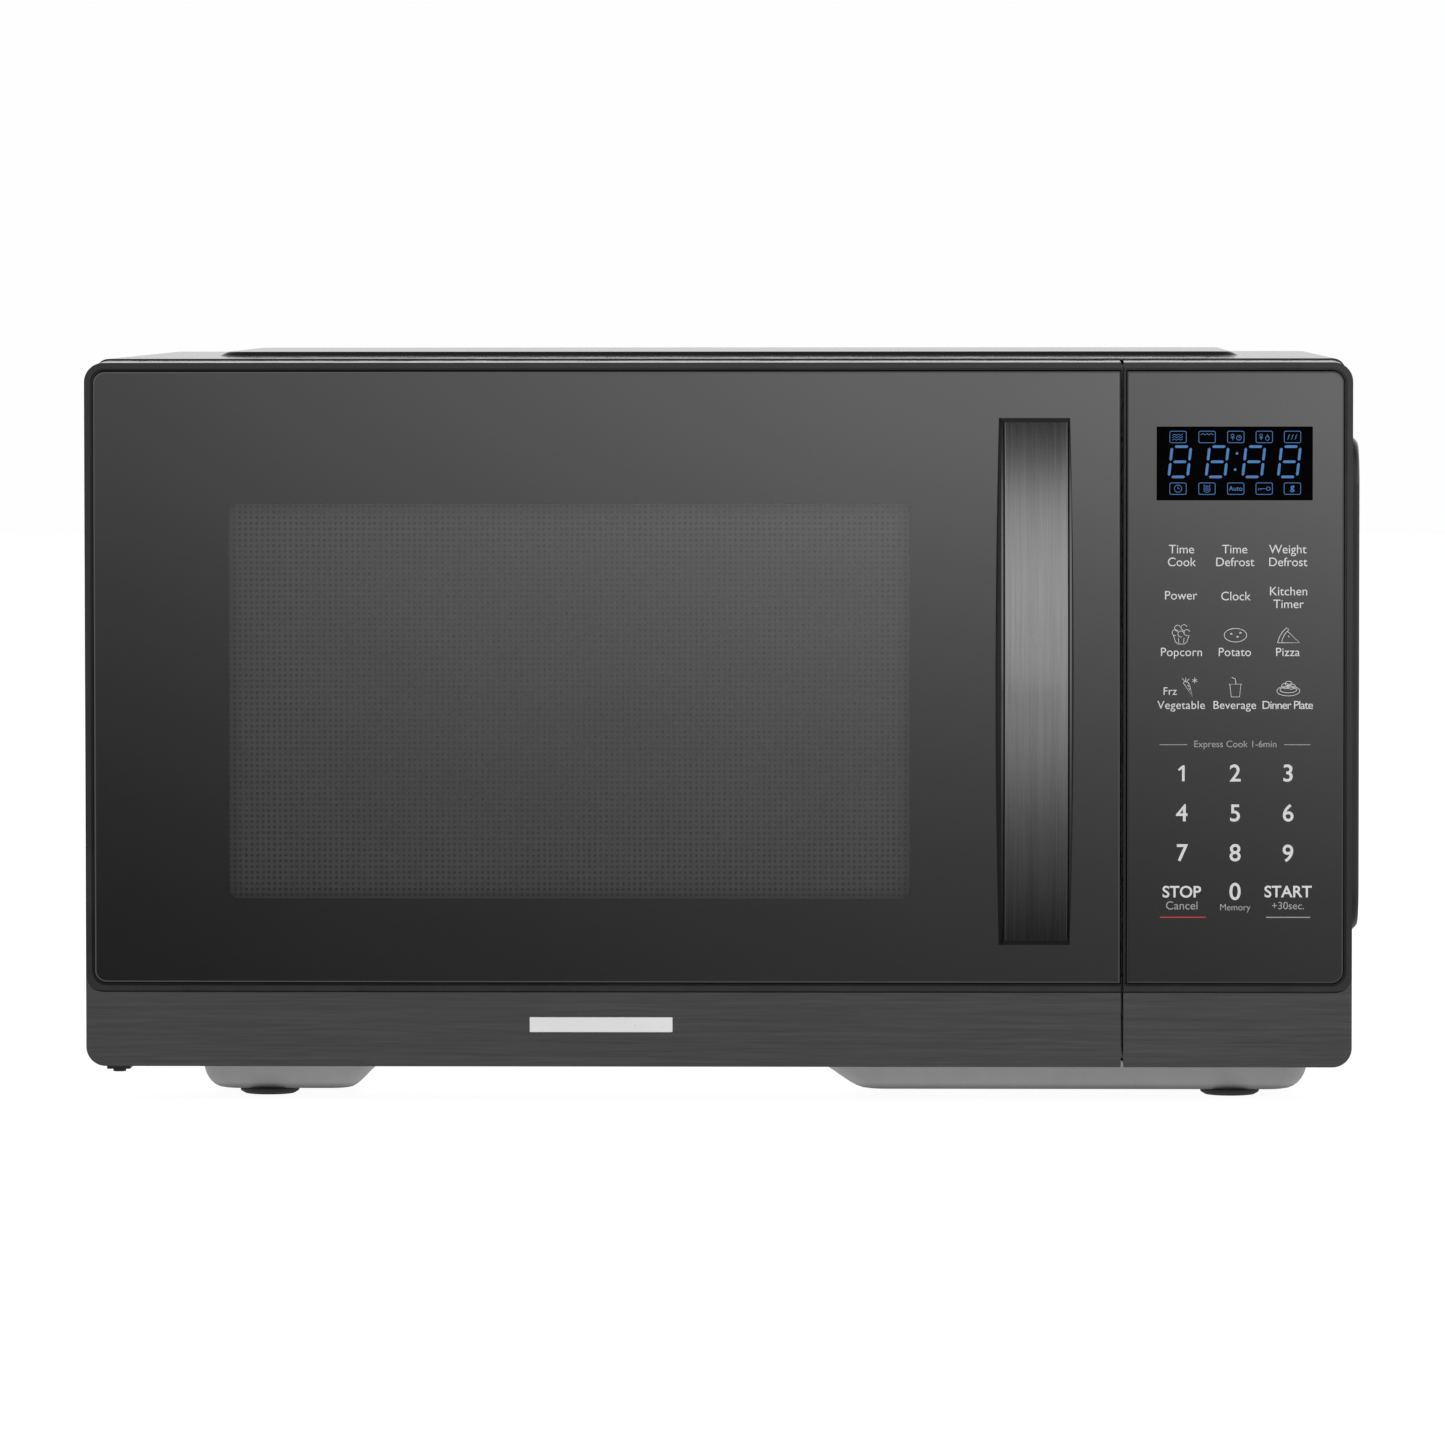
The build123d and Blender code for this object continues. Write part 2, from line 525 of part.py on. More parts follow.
with BuildPart() as glass_tray:
    with BuildSketch(Plane.XZ.offset(-TURN_Y)) as tray_profile:
        with BuildLine() as tray_line:
            bottom = TRAY_BOTTOM
            Polyline(
                (CAVITY_X, bottom), (CAVITY_X + 105.5, bottom), (CAVITY_X + 106, bottom - 1.8),
                (CAVITY_X + 110, bottom - 1.8), (CAVITY_X + 112, bottom), (CAVITY_X + 120, bottom),
                (CAVITY_X + TRAY_RADIUS, bottom + 10), (CAVITY_X + TRAY_RADIUS, bottom + 14),
                (CAVITY_X + TRAY_RADIUS - 4, bottom + 14), (CAVITY_X + 117, bottom + 5),
                (CAVITY_X, bottom + 5), close=True)
        make_face()
    revolve(tray_profile.sketch, axis=Axis((CAVITY_X, TURN_Y, 0), (0, 0, 1)))
save(glass_tray, "glass_tray")

AXLE_RADIUS = 2.0
RING_OUTER = 92.0
ROLLER_HALF = 4.0
ROLLER_COUNT = 3
with BuildPart() as roller_ring:
    with BuildSketch(Plane.XY.offset(ROLLER_Z - 2.5)) as ring:
        with Locations((CAVITY_X, TURN_Y)):
            Circle(RING_OUTER)
            Circle(RING_OUTER - 8, mode=Mode.SUBTRACT)
    extrude(ring.sketch, amount=5)
    for count in range(ROLLER_COUNT):
        turn = radians(360 / ROLLER_COUNT * count)
        out = (cos(turn), sin(turn), 0)
        hub = (CAVITY_X + out[0] * (RING_OUTER - 3), TURN_Y + out[1] * (RING_OUTER - 3), ROLLER_Z)
        cap = (CAVITY_X + out[0] * (ROLLER_TRACK + ROLLER_HALF + 0.4),
               TURN_Y + out[1] * (ROLLER_TRACK + ROLLER_HALF + 0.4), ROLLER_Z)
        rod(AXLE_RADIUS, hub, out, ROLLER_TRACK + ROLLER_HALF + 1 - RING_OUTER + 3)
        rod(3.2, cap, out, 1.2)
save(roller_ring, "roller_ring")

for count in range(ROLLER_COUNT):
    turn = radians(360 / ROLLER_COUNT * count)
    out = (cos(turn), sin(turn), 0)
    inner_reach = ROLLER_TRACK - ROLLER_HALF
    inner = (CAVITY_X + out[0] * inner_reach, TURN_Y + out[1] * inner_reach, ROLLER_Z)
    with BuildPart() as roller:
        rod(ROLLER_RADIUS, inner, out, 2 * ROLLER_HALF)
        rod(AXLE_RADIUS + RUNNING_GAP, inner, out, 2 * ROLLER_HALF, mode=Mode.SUBTRACT)
    save(roller, f"turntable_roller_{count + 1}")

# ---------------------------------------------------------------- control panel

PANEL_GLASS_LEFT = PANEL_LEFT + 0.9
PANEL_GLASS_RIGHT = FRONT_HALF_WIDTH - RING - GROOVE
RING_INNER = FRONT_HALF_WIDTH - RING


def strip_outline(x0, x1, left_radius, right_radius, y):
    """Face of the lower trim: the front's outline below the rounded surround of the glass."""
    square_left = 1 if left_radius < right_radius else 0
    whole = rounded(x0, x1, FRONT_BOTTOM, FRONT_TOP, left_radius, right_radius, y)
    surround = rounded(x0 - square_left, x1 + 1 - square_left, STRIP_TOP, FRONT_TOP + 1,
                       left_radius, right_radius, y)
    return whole - surround


with BuildPart() as control_housing:
    shell = rounded(PANEL_LEFT, FRONT_HALF_WIDTH, FRONT_BOTTOM, FRONT_TOP, 0.5, FRONT_CORNER, CABINET_FRONT)
    extrude(shell, amount=CABINET_FRONT - FRONT_Y)
    hollow = rounded(PANEL_LEFT + WALL, FRONT_HALF_WIDTH - WALL, FRONT_BOTTOM + WALL, FRONT_TOP - WALL,
                     0.5, FRONT_CORNER - WALL, CABINET_FRONT)
    extrude(hollow, amount=CABINET_FRONT - DECK_BACK, mode=Mode.SUBTRACT)
    recess = rounded(PANEL_LEFT, RING_INNER, RING_BAR_TOP, FRONT_TOP - RING, 0.3, GLASS_CORNER + GROOVE,
                     GLASS_BACK)
    extrude(recess, amount=GLASS_THICK, mode=Mode.SUBTRACT)
    extrude(strip_outline(PANEL_LEFT, FRONT_HALF_WIDTH, 0.5, FRONT_CORNER, FRONT_Y + STRIP_THICK),
            amount=STRIP_THICK, mode=Mode.SUBTRACT)
    block(167, 230, GLASS_BACK - 1, DECK_BACK + 1, 230, 262, mode=Mode.SUBTRACT)
save(control_housing, "control_housing")

with BuildPart() as control_glass:
    extrude(rounded(PANEL_GLASS_LEFT, PANEL_GLASS_RIGHT, GLASS_BOTTOM, GLASS_TOP, 0.6, GLASS_CORNER,
                    GLASS_BACK), amount=GLASS_THICK)
save(control_glass, "control_glass")

with BuildPart() as control_strip:
    extrude(strip_outline(PANEL_LEFT, FRONT_HALF_WIDTH, 0.5, FRONT_CORNER, FRONT_Y + STRIP_THICK),
            amount=STRIP_THICK)
save(control_strip, "control_strip")

BOARD_Y = -162.0
with BuildPart() as display_module:
    block(168.3, 228.1, GLASS_BACK, BOARD_Y, 232.1, 259.6)
save(display_module, "display_module")

with BuildPart() as control_board:
    block(162, 238, BOARD_Y, BOARD_Y + 1.6, 60, 272)
save(control_board, "control_board")

with BuildPart() as board_components:
    for z in (90.0, 115.0, 140.0):
        block(172, 187, BOARD_Y + 1.6, BOARD_Y + 16, z, z + 19)
    block(195, 230, BOARD_Y + 1.6, BOARD_Y + 6, 90, 132)
    block(200, 225, BOARD_Y + 6, DOOR_BACK, 94, 128)
save(board_components, "board_components")

# ---------------------------------------------------------------- hinges and interlock

PLATE_THICK = 1.5
HINGE_LEFT = HINGE_X - 4.5
HINGE_RIGHT = HINGE_X + 4.5
LOWER_PLATE_Z = 12.2
UPPER_PLATE_Z = 276.0
LEG_Y = CABINET_FRONT + SHEET

with BuildPart() as lower_hinge_bracket:
    block(HINGE_LEFT, HINGE_RIGHT, HINGE_Y - 5, LEG_Y + 0.1, LOWER_PLATE_Z, LOWER_PLATE_Z + PLATE_THICK)
    rod(PIN_RADIUS, (HINGE_X, HINGE_Y, LOWER_PLATE_Z - 1.2), (0, 0, 1), 12.6)
save(lower_hinge_bracket, "lower_hinge_bracket")

with BuildPart() as upper_hinge_bracket:
    block(HINGE_LEFT, HINGE_RIGHT, HINGE_Y - 5, LEG_Y + PLATE_THICK, UPPER_PLATE_Z, UPPER_PLATE_Z + PLATE_THICK)
    block(HINGE_LEFT, HINGE_RIGHT, LEG_Y, LEG_Y + PLATE_THICK, UPPER_PLATE_Z - 22, UPPER_PLATE_Z)
    rod(PIN_RADIUS, (HINGE_X, HINGE_Y, UPPER_PLATE_Z), (0, 0, 1), 6.6)
save(upper_hinge_bracket, "upper_hinge_bracket")

BRACKET_LEFT = 120.0
BRACKET_RIGHT = 154.0
BRACKET_WALL_X = LATCH_X - 8
SWITCH_FRONT = -115.0
HOOK_TIP = -118.0
with BuildPart() as latch_bracket:
    block(BRACKET_LEFT, BRACKET_RIGHT, LEG_Y, LEG_Y + 3, 60, 250)
    for z in LATCH_Z:
        block(LATCH_SLOT_X - 8, LATCH_SLOT_X + 8, LEG_Y - 1, LEG_Y + 4, z - 20, z + 20, mode=Mode.SUBTRACT)
    block(BRACKET_WALL_X, BRACKET_WALL_X + 3, LEG_Y, -86, 62, 106)
    block(BRACKET_WALL_X, BRACKET_WALL_X + 3, LEG_Y, -86, 212, 240)
save(latch_bracket, "latch_bracket")

PLUNGER_RADIUS = 1.6
PLUNGER_REACH = 2.7
with BuildPart() as interlock_switches:
    for z in SWITCH_Z:
        block(LATCH_X - 5, LATCH_X + 5, SWITCH_FRONT, SWITCH_FRONT + 28, z - 8, z + 8)
        rod(PLUNGER_RADIUS + RUNNING_GAP, (LATCH_X, SWITCH_FRONT - 1, z), (0, 1, 0), 7, mode=Mode.SUBTRACT)
        for back in (8, 17):
            block(LATCH_X - 3, LATCH_X + 3, SWITCH_FRONT + 28, SWITCH_FRONT + 35, z - back / 2,
                  z - back / 2 + 0.8)
save(interlock_switches, "interlock_switches")

for count, z in enumerate(SWITCH_Z):
    with BuildPart() as plunger:
        rod(PLUNGER_RADIUS, (LATCH_X, SWITCH_FRONT - PLUNGER_REACH, z), (0, 1, 0), PLUNGER_REACH + 3)
    save(plunger, f"switch_plunger_{count + 1}")

# ---------------------------------------------------------------- door

HINGE_BOSS = 5.5
SLOT_HEIGHT = 4.0
CHOKE_BACK = -150.0
LEVER_FRONT = -166.0
LEVER_BACK = -152.0
LEVER_BOTTOM = 62.0
LEVER_TOP = 242.0
SPRING_TOP = 268.0

with BuildPart() as door_frame:
    shell = rounded(-FRONT_HALF_WIDTH, DOOR_RIGHT, FRONT_BOTTOM, FRONT_TOP, FRONT_CORNER, 0.5, DOOR_BACK)
    extrude(shell, amount=DOOR_BACK - FRONT_Y)
    hollow = rounded(WALL - FRONT_HALF_WIDTH, DOOR_RIGHT - WALL, FRONT_BOTTOM + WALL, FRONT_TOP - WALL,
                     FRONT_CORNER - WALL, 0.5, DOOR_BACK)
    extrude(hollow, amount=DOOR_BACK - DECK_BACK, mode=Mode.SUBTRACT)
    recess = rounded(-RING_INNER, DOOR_RIGHT, RING_BAR_TOP, FRONT_TOP - RING, GLASS_CORNER + GROOVE, 0.3,
                     GLASS_BACK)
    extrude(recess, amount=GLASS_THICK, mode=Mode.SUBTRACT)
    extrude(strip_outline(-FRONT_HALF_WIDTH, DOOR_RIGHT, FRONT_CORNER, 0.5, FRONT_Y + STRIP_THICK),
            amount=STRIP_THICK, mode=Mode.SUBTRACT)
    block(WINDOW_LEFT - 4, WINDOW_RIGHT + 4, GLASS_BACK - 1, DECK_BACK + 1, WINDOW_BOTTOM - 4, WINDOW_TOP + 4,
          mode=Mode.SUBTRACT)
    rod(HINGE_BOSS, (HINGE_X, HINGE_Y, FRONT_BOTTOM), (0, 0, 1), 12)
    rod(HINGE_BOSS, (HINGE_X, HINGE_Y, UPPER_PLATE_Z + 2.2), (0, 0, 1), 5)
    rod(PIN_RADIUS + RUNNING_GAP, (HINGE_X, HINGE_Y, 10), (0, 0, 1), 20, mode=Mode.SUBTRACT)
    rod(PIN_RADIUS + RUNNING_GAP, (HINGE_X, HINGE_Y, 270), (0, 0, 1), 13, mode=Mode.SUBTRACT)
    block(-FRONT_HALF_WIDTH - 1, -FRONT_HALF_WIDTH + 6, -172, DOOR_BACK + 1,
          UPPER_PLATE_Z - 1, UPPER_PLATE_Z - 1 + SLOT_HEIGHT, mode=Mode.SUBTRACT)
    with BuildSketch(Plane.XY) as rear_corner:
        with BuildLine() as corner_line:
            Polyline((-FRONT_HALF_WIDTH - 1, -154), (-FRONT_HALF_WIDTH, -154), (-237, DOOR_BACK),
                     (-237, DOOR_BACK + 1), (-FRONT_HALF_WIDTH - 1, DOOR_BACK + 1), close=True)
        make_face()
    extrude(rear_corner.sketch, amount=300, mode=Mode.SUBTRACT)
    for z in HANDLE_SCREW_Z:
        rod(SCREW_RADIUS + 0.3, (HANDLE_X, GLASS_BACK - 1, z), (0, 1, 0), 4, mode=Mode.SUBTRACT)
    block(LATCH_X - 6, LATCH_X + 8, DECK_BACK, LEVER_BACK + 1, SPRING_TOP, SPRING_TOP + 3)
    for z in (110.0, 190.0):
        block(LATCH_X - 8, LATCH_X + 8, DECK_BACK, LEVER_BACK + 1, z, z + 8)
        block(LATCH_X - 3.5, LATCH_X + 3.5, LEVER_FRONT - 0.5, CHOKE_BACK, z - 1, z + 9, mode=Mode.SUBTRACT)
save(door_frame, "door_frame")

with BuildPart() as door_glass:
    extrude(rounded(RING + GROOVE - FRONT_HALF_WIDTH, DOOR_RIGHT, GLASS_BOTTOM, GLASS_TOP, GLASS_CORNER, 0.6,
                    GLASS_BACK), amount=GLASS_THICK)
    for z in HANDLE_SCREW_Z:
        rod(SCREW_RADIUS + 0.3, (HANDLE_X, FRONT_Y - 1, z), (0, 1, 0), 5, mode=Mode.SUBTRACT)
save(door_glass, "door_glass")

with BuildPart() as door_trim_strip:
    extrude(strip_outline(-FRONT_HALF_WIDTH, DOOR_RIGHT, FRONT_CORNER, 0.5, FRONT_Y + STRIP_THICK),
            amount=STRIP_THICK)
save(door_trim_strip, "door_trim_strip")

BADGE_X = -45.0
BADGE_Z = 30.4
with BuildPart() as badge_plate:
    block(BADGE_X - 27.5, BADGE_X + 27.5, FRONT_Y - 0.5, FRONT_Y, BADGE_Z - 2.9, BADGE_Z + 2.9)
save(badge_plate, "badge_plate")

PANEL_FRONT = -171.0
CHOKE_RIGHT = 122.0
HOOK_SLOT = (10.0, 36.0)
SCREEN_MARGIN = 6.0
with BuildPart() as door_panel:
    extrude(rounded(-225, CHOKE_RIGHT, 27, 267, 6, 6, CHOKE_BACK), amount=CHOKE_BACK - PANEL_FRONT)
    extrude(rounded(-225 + SHEET, CHOKE_RIGHT - SHEET, 27 + SHEET, 267 - SHEET, 5, 5, CHOKE_BACK),
            amount=CHOKE_BACK - PANEL_FRONT - SHEET, mode=Mode.SUBTRACT)
    extrude(rounded(WINDOW_LEFT - 1, WINDOW_RIGHT + 1, WINDOW_BOTTOM - 1, WINDOW_TOP + 1, 4, 4, CHOKE_BACK),
            amount=40, mode=Mode.SUBTRACT)
save(door_panel, "door_panel")

with BuildPart() as perforated_screen:
    extrude(rounded(WINDOW_LEFT - SCREEN_MARGIN, WINDOW_RIGHT + SCREEN_MARGIN, WINDOW_BOTTOM - SCREEN_MARGIN,
                    WINDOW_TOP + SCREEN_MARGIN, 4, 4, PANEL_FRONT), amount=0.5)
save(perforated_screen, "perforated_screen")

with BuildPart() as choke_cover:
    extrude(rounded(-226, DOOR_RIGHT - WALL - 0.4, FRONT_BOTTOM + WALL + 0.4, FRONT_TOP - WALL - 0.4, 8, 1,
                    DOOR_BACK), amount=DOOR_BACK - CHOKE_BACK)
    with BuildSketch(facing_front(DOOR_BACK)) as hook_slots:
        for z in LATCH_Z:
            with Locations((LATCH_X, z)):
                Rectangle(*HOOK_SLOT)
    extrude(hook_slots.sketch, amount=DOOR_BACK - CHOKE_BACK, mode=Mode.SUBTRACT)
    extrude(rounded(WINDOW_LEFT + 2, WINDOW_RIGHT - 2, WINDOW_BOTTOM + 2, WINDOW_TOP - 2, 4, 4, DOOR_BACK),
            amount=10, mode=Mode.SUBTRACT)
save(choke_cover, "choke_cover")

with BuildPart() as inner_window:
    extrude(rounded(WINDOW_LEFT + 2, WINDOW_RIGHT - 2, WINDOW_BOTTOM + 2, WINDOW_TOP - 2, 4, 4, DOOR_BACK - 1),
            amount=2)
save(inner_window, "inner_window")

HANDLE_MID = (HANDLE_BOTTOM + HANDLE_TOP) / 2
HALF_SPAN = (HANDLE_TOP - HANDLE_BOTTOM) / 2


def bow(reach, half_span, x_half):
    """Solid between the door's face and an arc that stands out by reach, as wide as 2 x_half."""
    with BuildSketch(Plane.YZ.offset(HANDLE_X - x_half)) as segment:
        with BuildLine():
            low_end = (FRONT_Y, HANDLE_MID - half_span)
            high_end = (FRONT_Y, HANDLE_MID + half_span)
            ThreePointArc(low_end, (FRONT_Y - reach, HANDLE_MID), high_end)
            Line(high_end, low_end)
        make_face()
    return extrude(segment.sketch, amount=2 * x_half, mode=Mode.PRIVATE)


def barrel_outline(middle_width, end_width, y):
    """Front outline of the handle, wider in the middle than at its ends."""
    with BuildSketch(facing_front(y)) as outline:
        with BuildLine():
            ends = [(HANDLE_X + side * end_width / 2, HANDLE_MID + up * HALF_SPAN)
                    for side, up in ((-1, -1), (-1, 1), (1, 1), (1, -1))]
            ThreePointArc(ends[0], (HANDLE_X - middle_width / 2, HANDLE_MID), ends[1])
            Line(ends[1], ends[2])
            ThreePointArc(ends[2], (HANDLE_X + middle_width / 2, HANDLE_MID), ends[3])
            Line(ends[3], ends[0])
        make_face()
    return outline.sketch


def face_insert():
    """The curved metal insert of the handle: the outer skin of the bow, FACE_WIDTH wide."""
    skin = bow(HANDLE_REACH, HALF_SPAN, FACE_WIDTH / 2) - bow(HANDLE_REACH - FACE_THICK, HALF_SPAN - 3,
                                                              FACE_WIDTH)
    clear_of_door = Pos(HANDLE_X, FRONT_Y - 26.5, HANDLE_MID) * Box(40, 49, 2 * HALF_SPAN)
    return skin & clear_of_door


INNER_SPAN = HALF_SPAN - 17
outer_bow = bow(HANDLE_REACH, HALF_SPAN, HANDLE_WIDTH)
inner_bow = bow(HANDLE_REACH - HANDLE_THICK, INNER_SPAN, HANDLE_WIDTH + 1)
insert = face_insert()
with BuildPart() as handle_body:
    extrude(barrel_outline(HANDLE_WIDTH, HANDLE_END_WIDTH, FRONT_Y), amount=HANDLE_REACH)
    add(outer_bow, mode=Mode.INTERSECT)
    add(inner_bow, mode=Mode.SUBTRACT)
    add(insert, mode=Mode.SUBTRACT)
    for z in HANDLE_SCREW_Z:
        rod(SCREW_RADIUS, (HANDLE_X, FRONT_Y - 4, z), (0, 1, 0), 5, mode=Mode.SUBTRACT)
save(handle_body, "handle_body")

with BuildPart() as handle_face:
    add(insert)
save(handle_face, "handle_face")

with BuildPart() as handle_screws:
    for z in HANDLE_SCREW_Z:
        rod(SCREW_RADIUS, (HANDLE_X, FRONT_Y - 4, z), (0, 1, 0), DECK_BACK - FRONT_Y + 4)
        rod(3.6, (HANDLE_X, DECK_BACK, z), (0, 1, 0), 2.4)
save(handle_screws, "handle_screws")

with BuildPart() as latch_lever:
    block(LATCH_X - 3, LATCH_X + 3, LEVER_FRONT, LEVER_BACK, LEVER_BOTTOM, LEVER_TOP)
    block(LATCH_X - 3, LATCH_X + 3, LEVER_BACK, HOOK_TIP - 0.3, 75, 99)
    block(LATCH_X - 3, LATCH_X + 3, LEVER_BACK, HOOK_TIP - 0.3, 218, 232)
    for low, high in ((87.0, 99.0), (224.0, 232.0)):
        block(LATCH_X - 4, LATCH_X + 4, -138, HOOK_TIP - 7, low, high, mode=Mode.SUBTRACT)
save(latch_lever, "latch_lever")

with BuildPart() as latch_spring:
    rod(4, (LATCH_X, -159, LEVER_TOP), (0, 0, 1), SPRING_TOP - LEVER_TOP)
    rod(3, (LATCH_X, -159, LEVER_TOP), (0, 0, 1), SPRING_TOP - LEVER_TOP, mode=Mode.SUBTRACT)
save(latch_spring, "latch_spring")
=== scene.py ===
"""Looks of the countertop microwave oven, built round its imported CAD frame.

Every object is in metres, in the frame's coordinates: X to the right, Y to the back, Z up.
The sizes in this script are written in millimetres and turned into metres by MM.
"""

import json
import math

import bmesh
import bpy
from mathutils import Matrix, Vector

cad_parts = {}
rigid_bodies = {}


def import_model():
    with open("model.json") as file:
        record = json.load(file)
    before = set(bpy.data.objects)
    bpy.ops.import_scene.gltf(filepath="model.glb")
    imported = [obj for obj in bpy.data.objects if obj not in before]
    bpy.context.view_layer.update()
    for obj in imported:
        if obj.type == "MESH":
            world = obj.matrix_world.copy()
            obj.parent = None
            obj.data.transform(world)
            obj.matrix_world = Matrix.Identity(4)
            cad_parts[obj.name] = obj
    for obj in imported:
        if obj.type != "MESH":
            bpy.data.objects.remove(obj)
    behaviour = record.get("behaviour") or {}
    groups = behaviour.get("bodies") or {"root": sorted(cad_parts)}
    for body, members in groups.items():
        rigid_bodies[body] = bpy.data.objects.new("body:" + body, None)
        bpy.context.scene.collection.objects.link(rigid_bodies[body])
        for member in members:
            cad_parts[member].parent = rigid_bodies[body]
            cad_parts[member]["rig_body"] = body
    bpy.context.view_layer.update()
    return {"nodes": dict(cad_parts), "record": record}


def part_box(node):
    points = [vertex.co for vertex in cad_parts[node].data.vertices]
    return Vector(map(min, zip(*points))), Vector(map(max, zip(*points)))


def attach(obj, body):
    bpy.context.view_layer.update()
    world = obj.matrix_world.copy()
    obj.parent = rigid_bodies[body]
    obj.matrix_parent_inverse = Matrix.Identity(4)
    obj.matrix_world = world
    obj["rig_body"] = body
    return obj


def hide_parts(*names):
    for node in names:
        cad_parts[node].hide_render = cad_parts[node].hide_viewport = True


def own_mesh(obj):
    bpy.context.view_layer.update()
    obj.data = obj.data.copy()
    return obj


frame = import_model()
NODES = frame["nodes"]
MM = 0.001


# ------------ materials


def grey(value):
    """Linear light of a neutral sRGB level from 0 to 255."""
    value = value / 255
    return value / 12.92 if value <= 0.04045 else ((value + 0.055) / 1.055) ** 2.4


def rgba(colour):
    """Opaque colour from one grey level or from red, green and blue."""
    return (colour, colour, colour, 1) if isinstance(colour, (int, float)) else (*colour, 1)


def darker(colour, share):
    return tuple(share * c for c in colour)


class NodeTree:
    """Shader nodes under construction, of a material or of the world."""

    def __init__(self, owner):
        owner.use_nodes = True
        self.tree = owner.node_tree

    def feed(self, socket, value):
        """Links an output to the socket or sets the socket's own value."""
        if isinstance(value, bpy.types.NodeSocket):
            self.tree.links.new(value, socket)
        else:
            socket.default_value = rgba(value) if socket.type == "RGBA" else value

    def node(self, kind, inputs=None, **settings):
        made = self.tree.nodes.new("ShaderNode" + kind)
        for name, value in settings.items():
            setattr(made, name, value)
        for name, value in (inputs or {}).items():
            self.feed(made.inputs[name], value)
        return made

    def first(self, kind, inputs=None, **settings):
        """First output of a new node."""
        return self.node(kind, inputs, **settings).outputs[0]

    def ramp(self, factor, *stops):
        """Colour ramp from (position, colour) stops."""
        made = self.node("ValToRGB", {"Fac": factor})
        while len(made.color_ramp.elements) < len(stops):
            made.color_ramp.elements.new(0.5)
        for element, (position, colour) in zip(made.color_ramp.elements, stops):
            element.position = position
            element.color = rgba(colour)
        return made.outputs["Color"]

    def remap(self, value, low, high, start=0.3, end=0.7):
        """Brings a value between start and end to one between low and high."""
        return self.first("MapRange", {
            "Value": value, "From Min": start, "From Max": end, "To Min": low, "To Max": high})

    def blend(self, factor, a, b, kind="MIX"):
        """Mix of two colours."""
        made = self.node("Mix", {0: factor, 6: a, 7: b}, data_type="RGBA", blend_type=kind)
        return made.outputs[2]

    def axes(self, coordinates):
        """X, Y and Z outputs of one kind of texture coordinates."""
        where = self.node("TexCoord").outputs[coordinates]
        return self.node("SeparateXYZ", {"Vector": where}).outputs


class Shading(NodeTree):
    """A material under construction."""

    def __init__(self, name):
        self.material = bpy.data.materials.new(name)
        super().__init__(self.material)
        self.shader = self.tree.nodes["Principled BSDF"]
        self.output = self.tree.nodes["Material Output"]

    def finish(self, colour, roughness, normal=None, **sockets):
        """Feeds the shader's sockets and returns the material."""
        sockets.update(Base_Color=colour, Roughness=roughness)
        if normal:
            sockets["Normal"] = normal
        for name, value in sockets.items():
            self.feed(self.shader.inputs[name.replace("_", " ")], value)
        return self.material

    def place(self, stretch=(1, 1, 1)):
        """Object coordinates, stretched, so that a pattern stays on the piece as it moves."""
        where = self.node("TexCoord").outputs["Object"]
        return self.first("Mapping", {"Vector": where, "Scale": stretch})

    def noise(self, scale, detail=3.0, rough=0.55, stretch=(1, 1, 1)):
        return self.node("TexNoise", {"Vector": self.place(stretch), "Scale": scale, "Detail": detail,
                                      "Roughness": rough}).outputs["Fac"]

    def cells(self, scale, **settings):
        return self.node("TexVoronoi", {"Vector": self.place(), "Scale": scale}, **settings).outputs

    def waves(self, scale, distortion, direction):
        return self.node("TexWave", {"Vector": self.place(), "Scale": scale, "Distortion": distortion,
                                     "Detail": 2.0}, bands_direction=direction).outputs["Fac"]

    def cloud(self, scale, detail, dark, light):
        """Colour that drifts between two tones."""
        return self.ramp(self.noise(scale, detail), (0.3, dark), (0.7, light))

    def gloss(self, scale, detail, low, high):
        """Roughness that drifts between two values."""
        return self.remap(self.noise(scale, detail), low, high)

    def brightness(self, colour):
        return self.first("RGBToBW", {"Color": colour})

    def sum(self, a, share_a, b, share_b):
        """Weighted sum of two values."""
        parts = [self.first("Math", {0: value, 1: share}, operation="MULTIPLY")
                 for value, share in ((a, share_a), (b, share_b))]
        return self.first("Math", {0: parts[0], 1: parts[1]}, operation="ADD")

    def bump(self, height, strength, distance):
        return self.first("Bump", {"Height": height, "Strength": strength, "Distance": distance * MM})

    def mix_shaders(self, factor, first, second):
        return self.first("MixShader", {"Fac": factor, 1: first, 2: second})


def moulded(name, dark, light, rough, grain=900.0, depth=0.02, **sockets):
    """Injection-moulded plastic or rubber: faint cloudiness, fine spark-eroded grain, uneven gloss."""
    s = Shading(name)
    return s.finish(s.cloud(14, 4, dark, light), s.gloss(60, 4, rough - 0.05, rough + 0.06),
                    s.bump(s.noise(grain, 2, 0.6), 0.35, depth), **sockets)


def brushed(name, dark, light, rough, streak, depth, strength):
    """Metal brushed along one direction: streak stretches the noise, small along the strokes."""
    s = Shading(name)
    strokes = s.sum(s.noise(480, 3, 0.6, streak), 0.45, s.noise(2400, 2, 0.6, streak), 0.55)
    return s.finish(s.ramp(strokes, (0.34, dark), (0.66, light)),
                    s.remap(strokes, rough - 0.02, rough + 0.03),
                    s.bump(strokes, strength, depth), Metallic=1.0)


def painted(name, dark, light, rough, peel, depth):
    """Powder coat over sheet metal: fine orange peel and slow changes of tone."""
    s = Shading(name)
    return s.finish(s.cloud(35, 4, dark, light), s.gloss(70, 3, rough - 0.03, rough + 0.03),
                    s.bump(s.noise(peel, 3, 0.5), 0.3, depth))


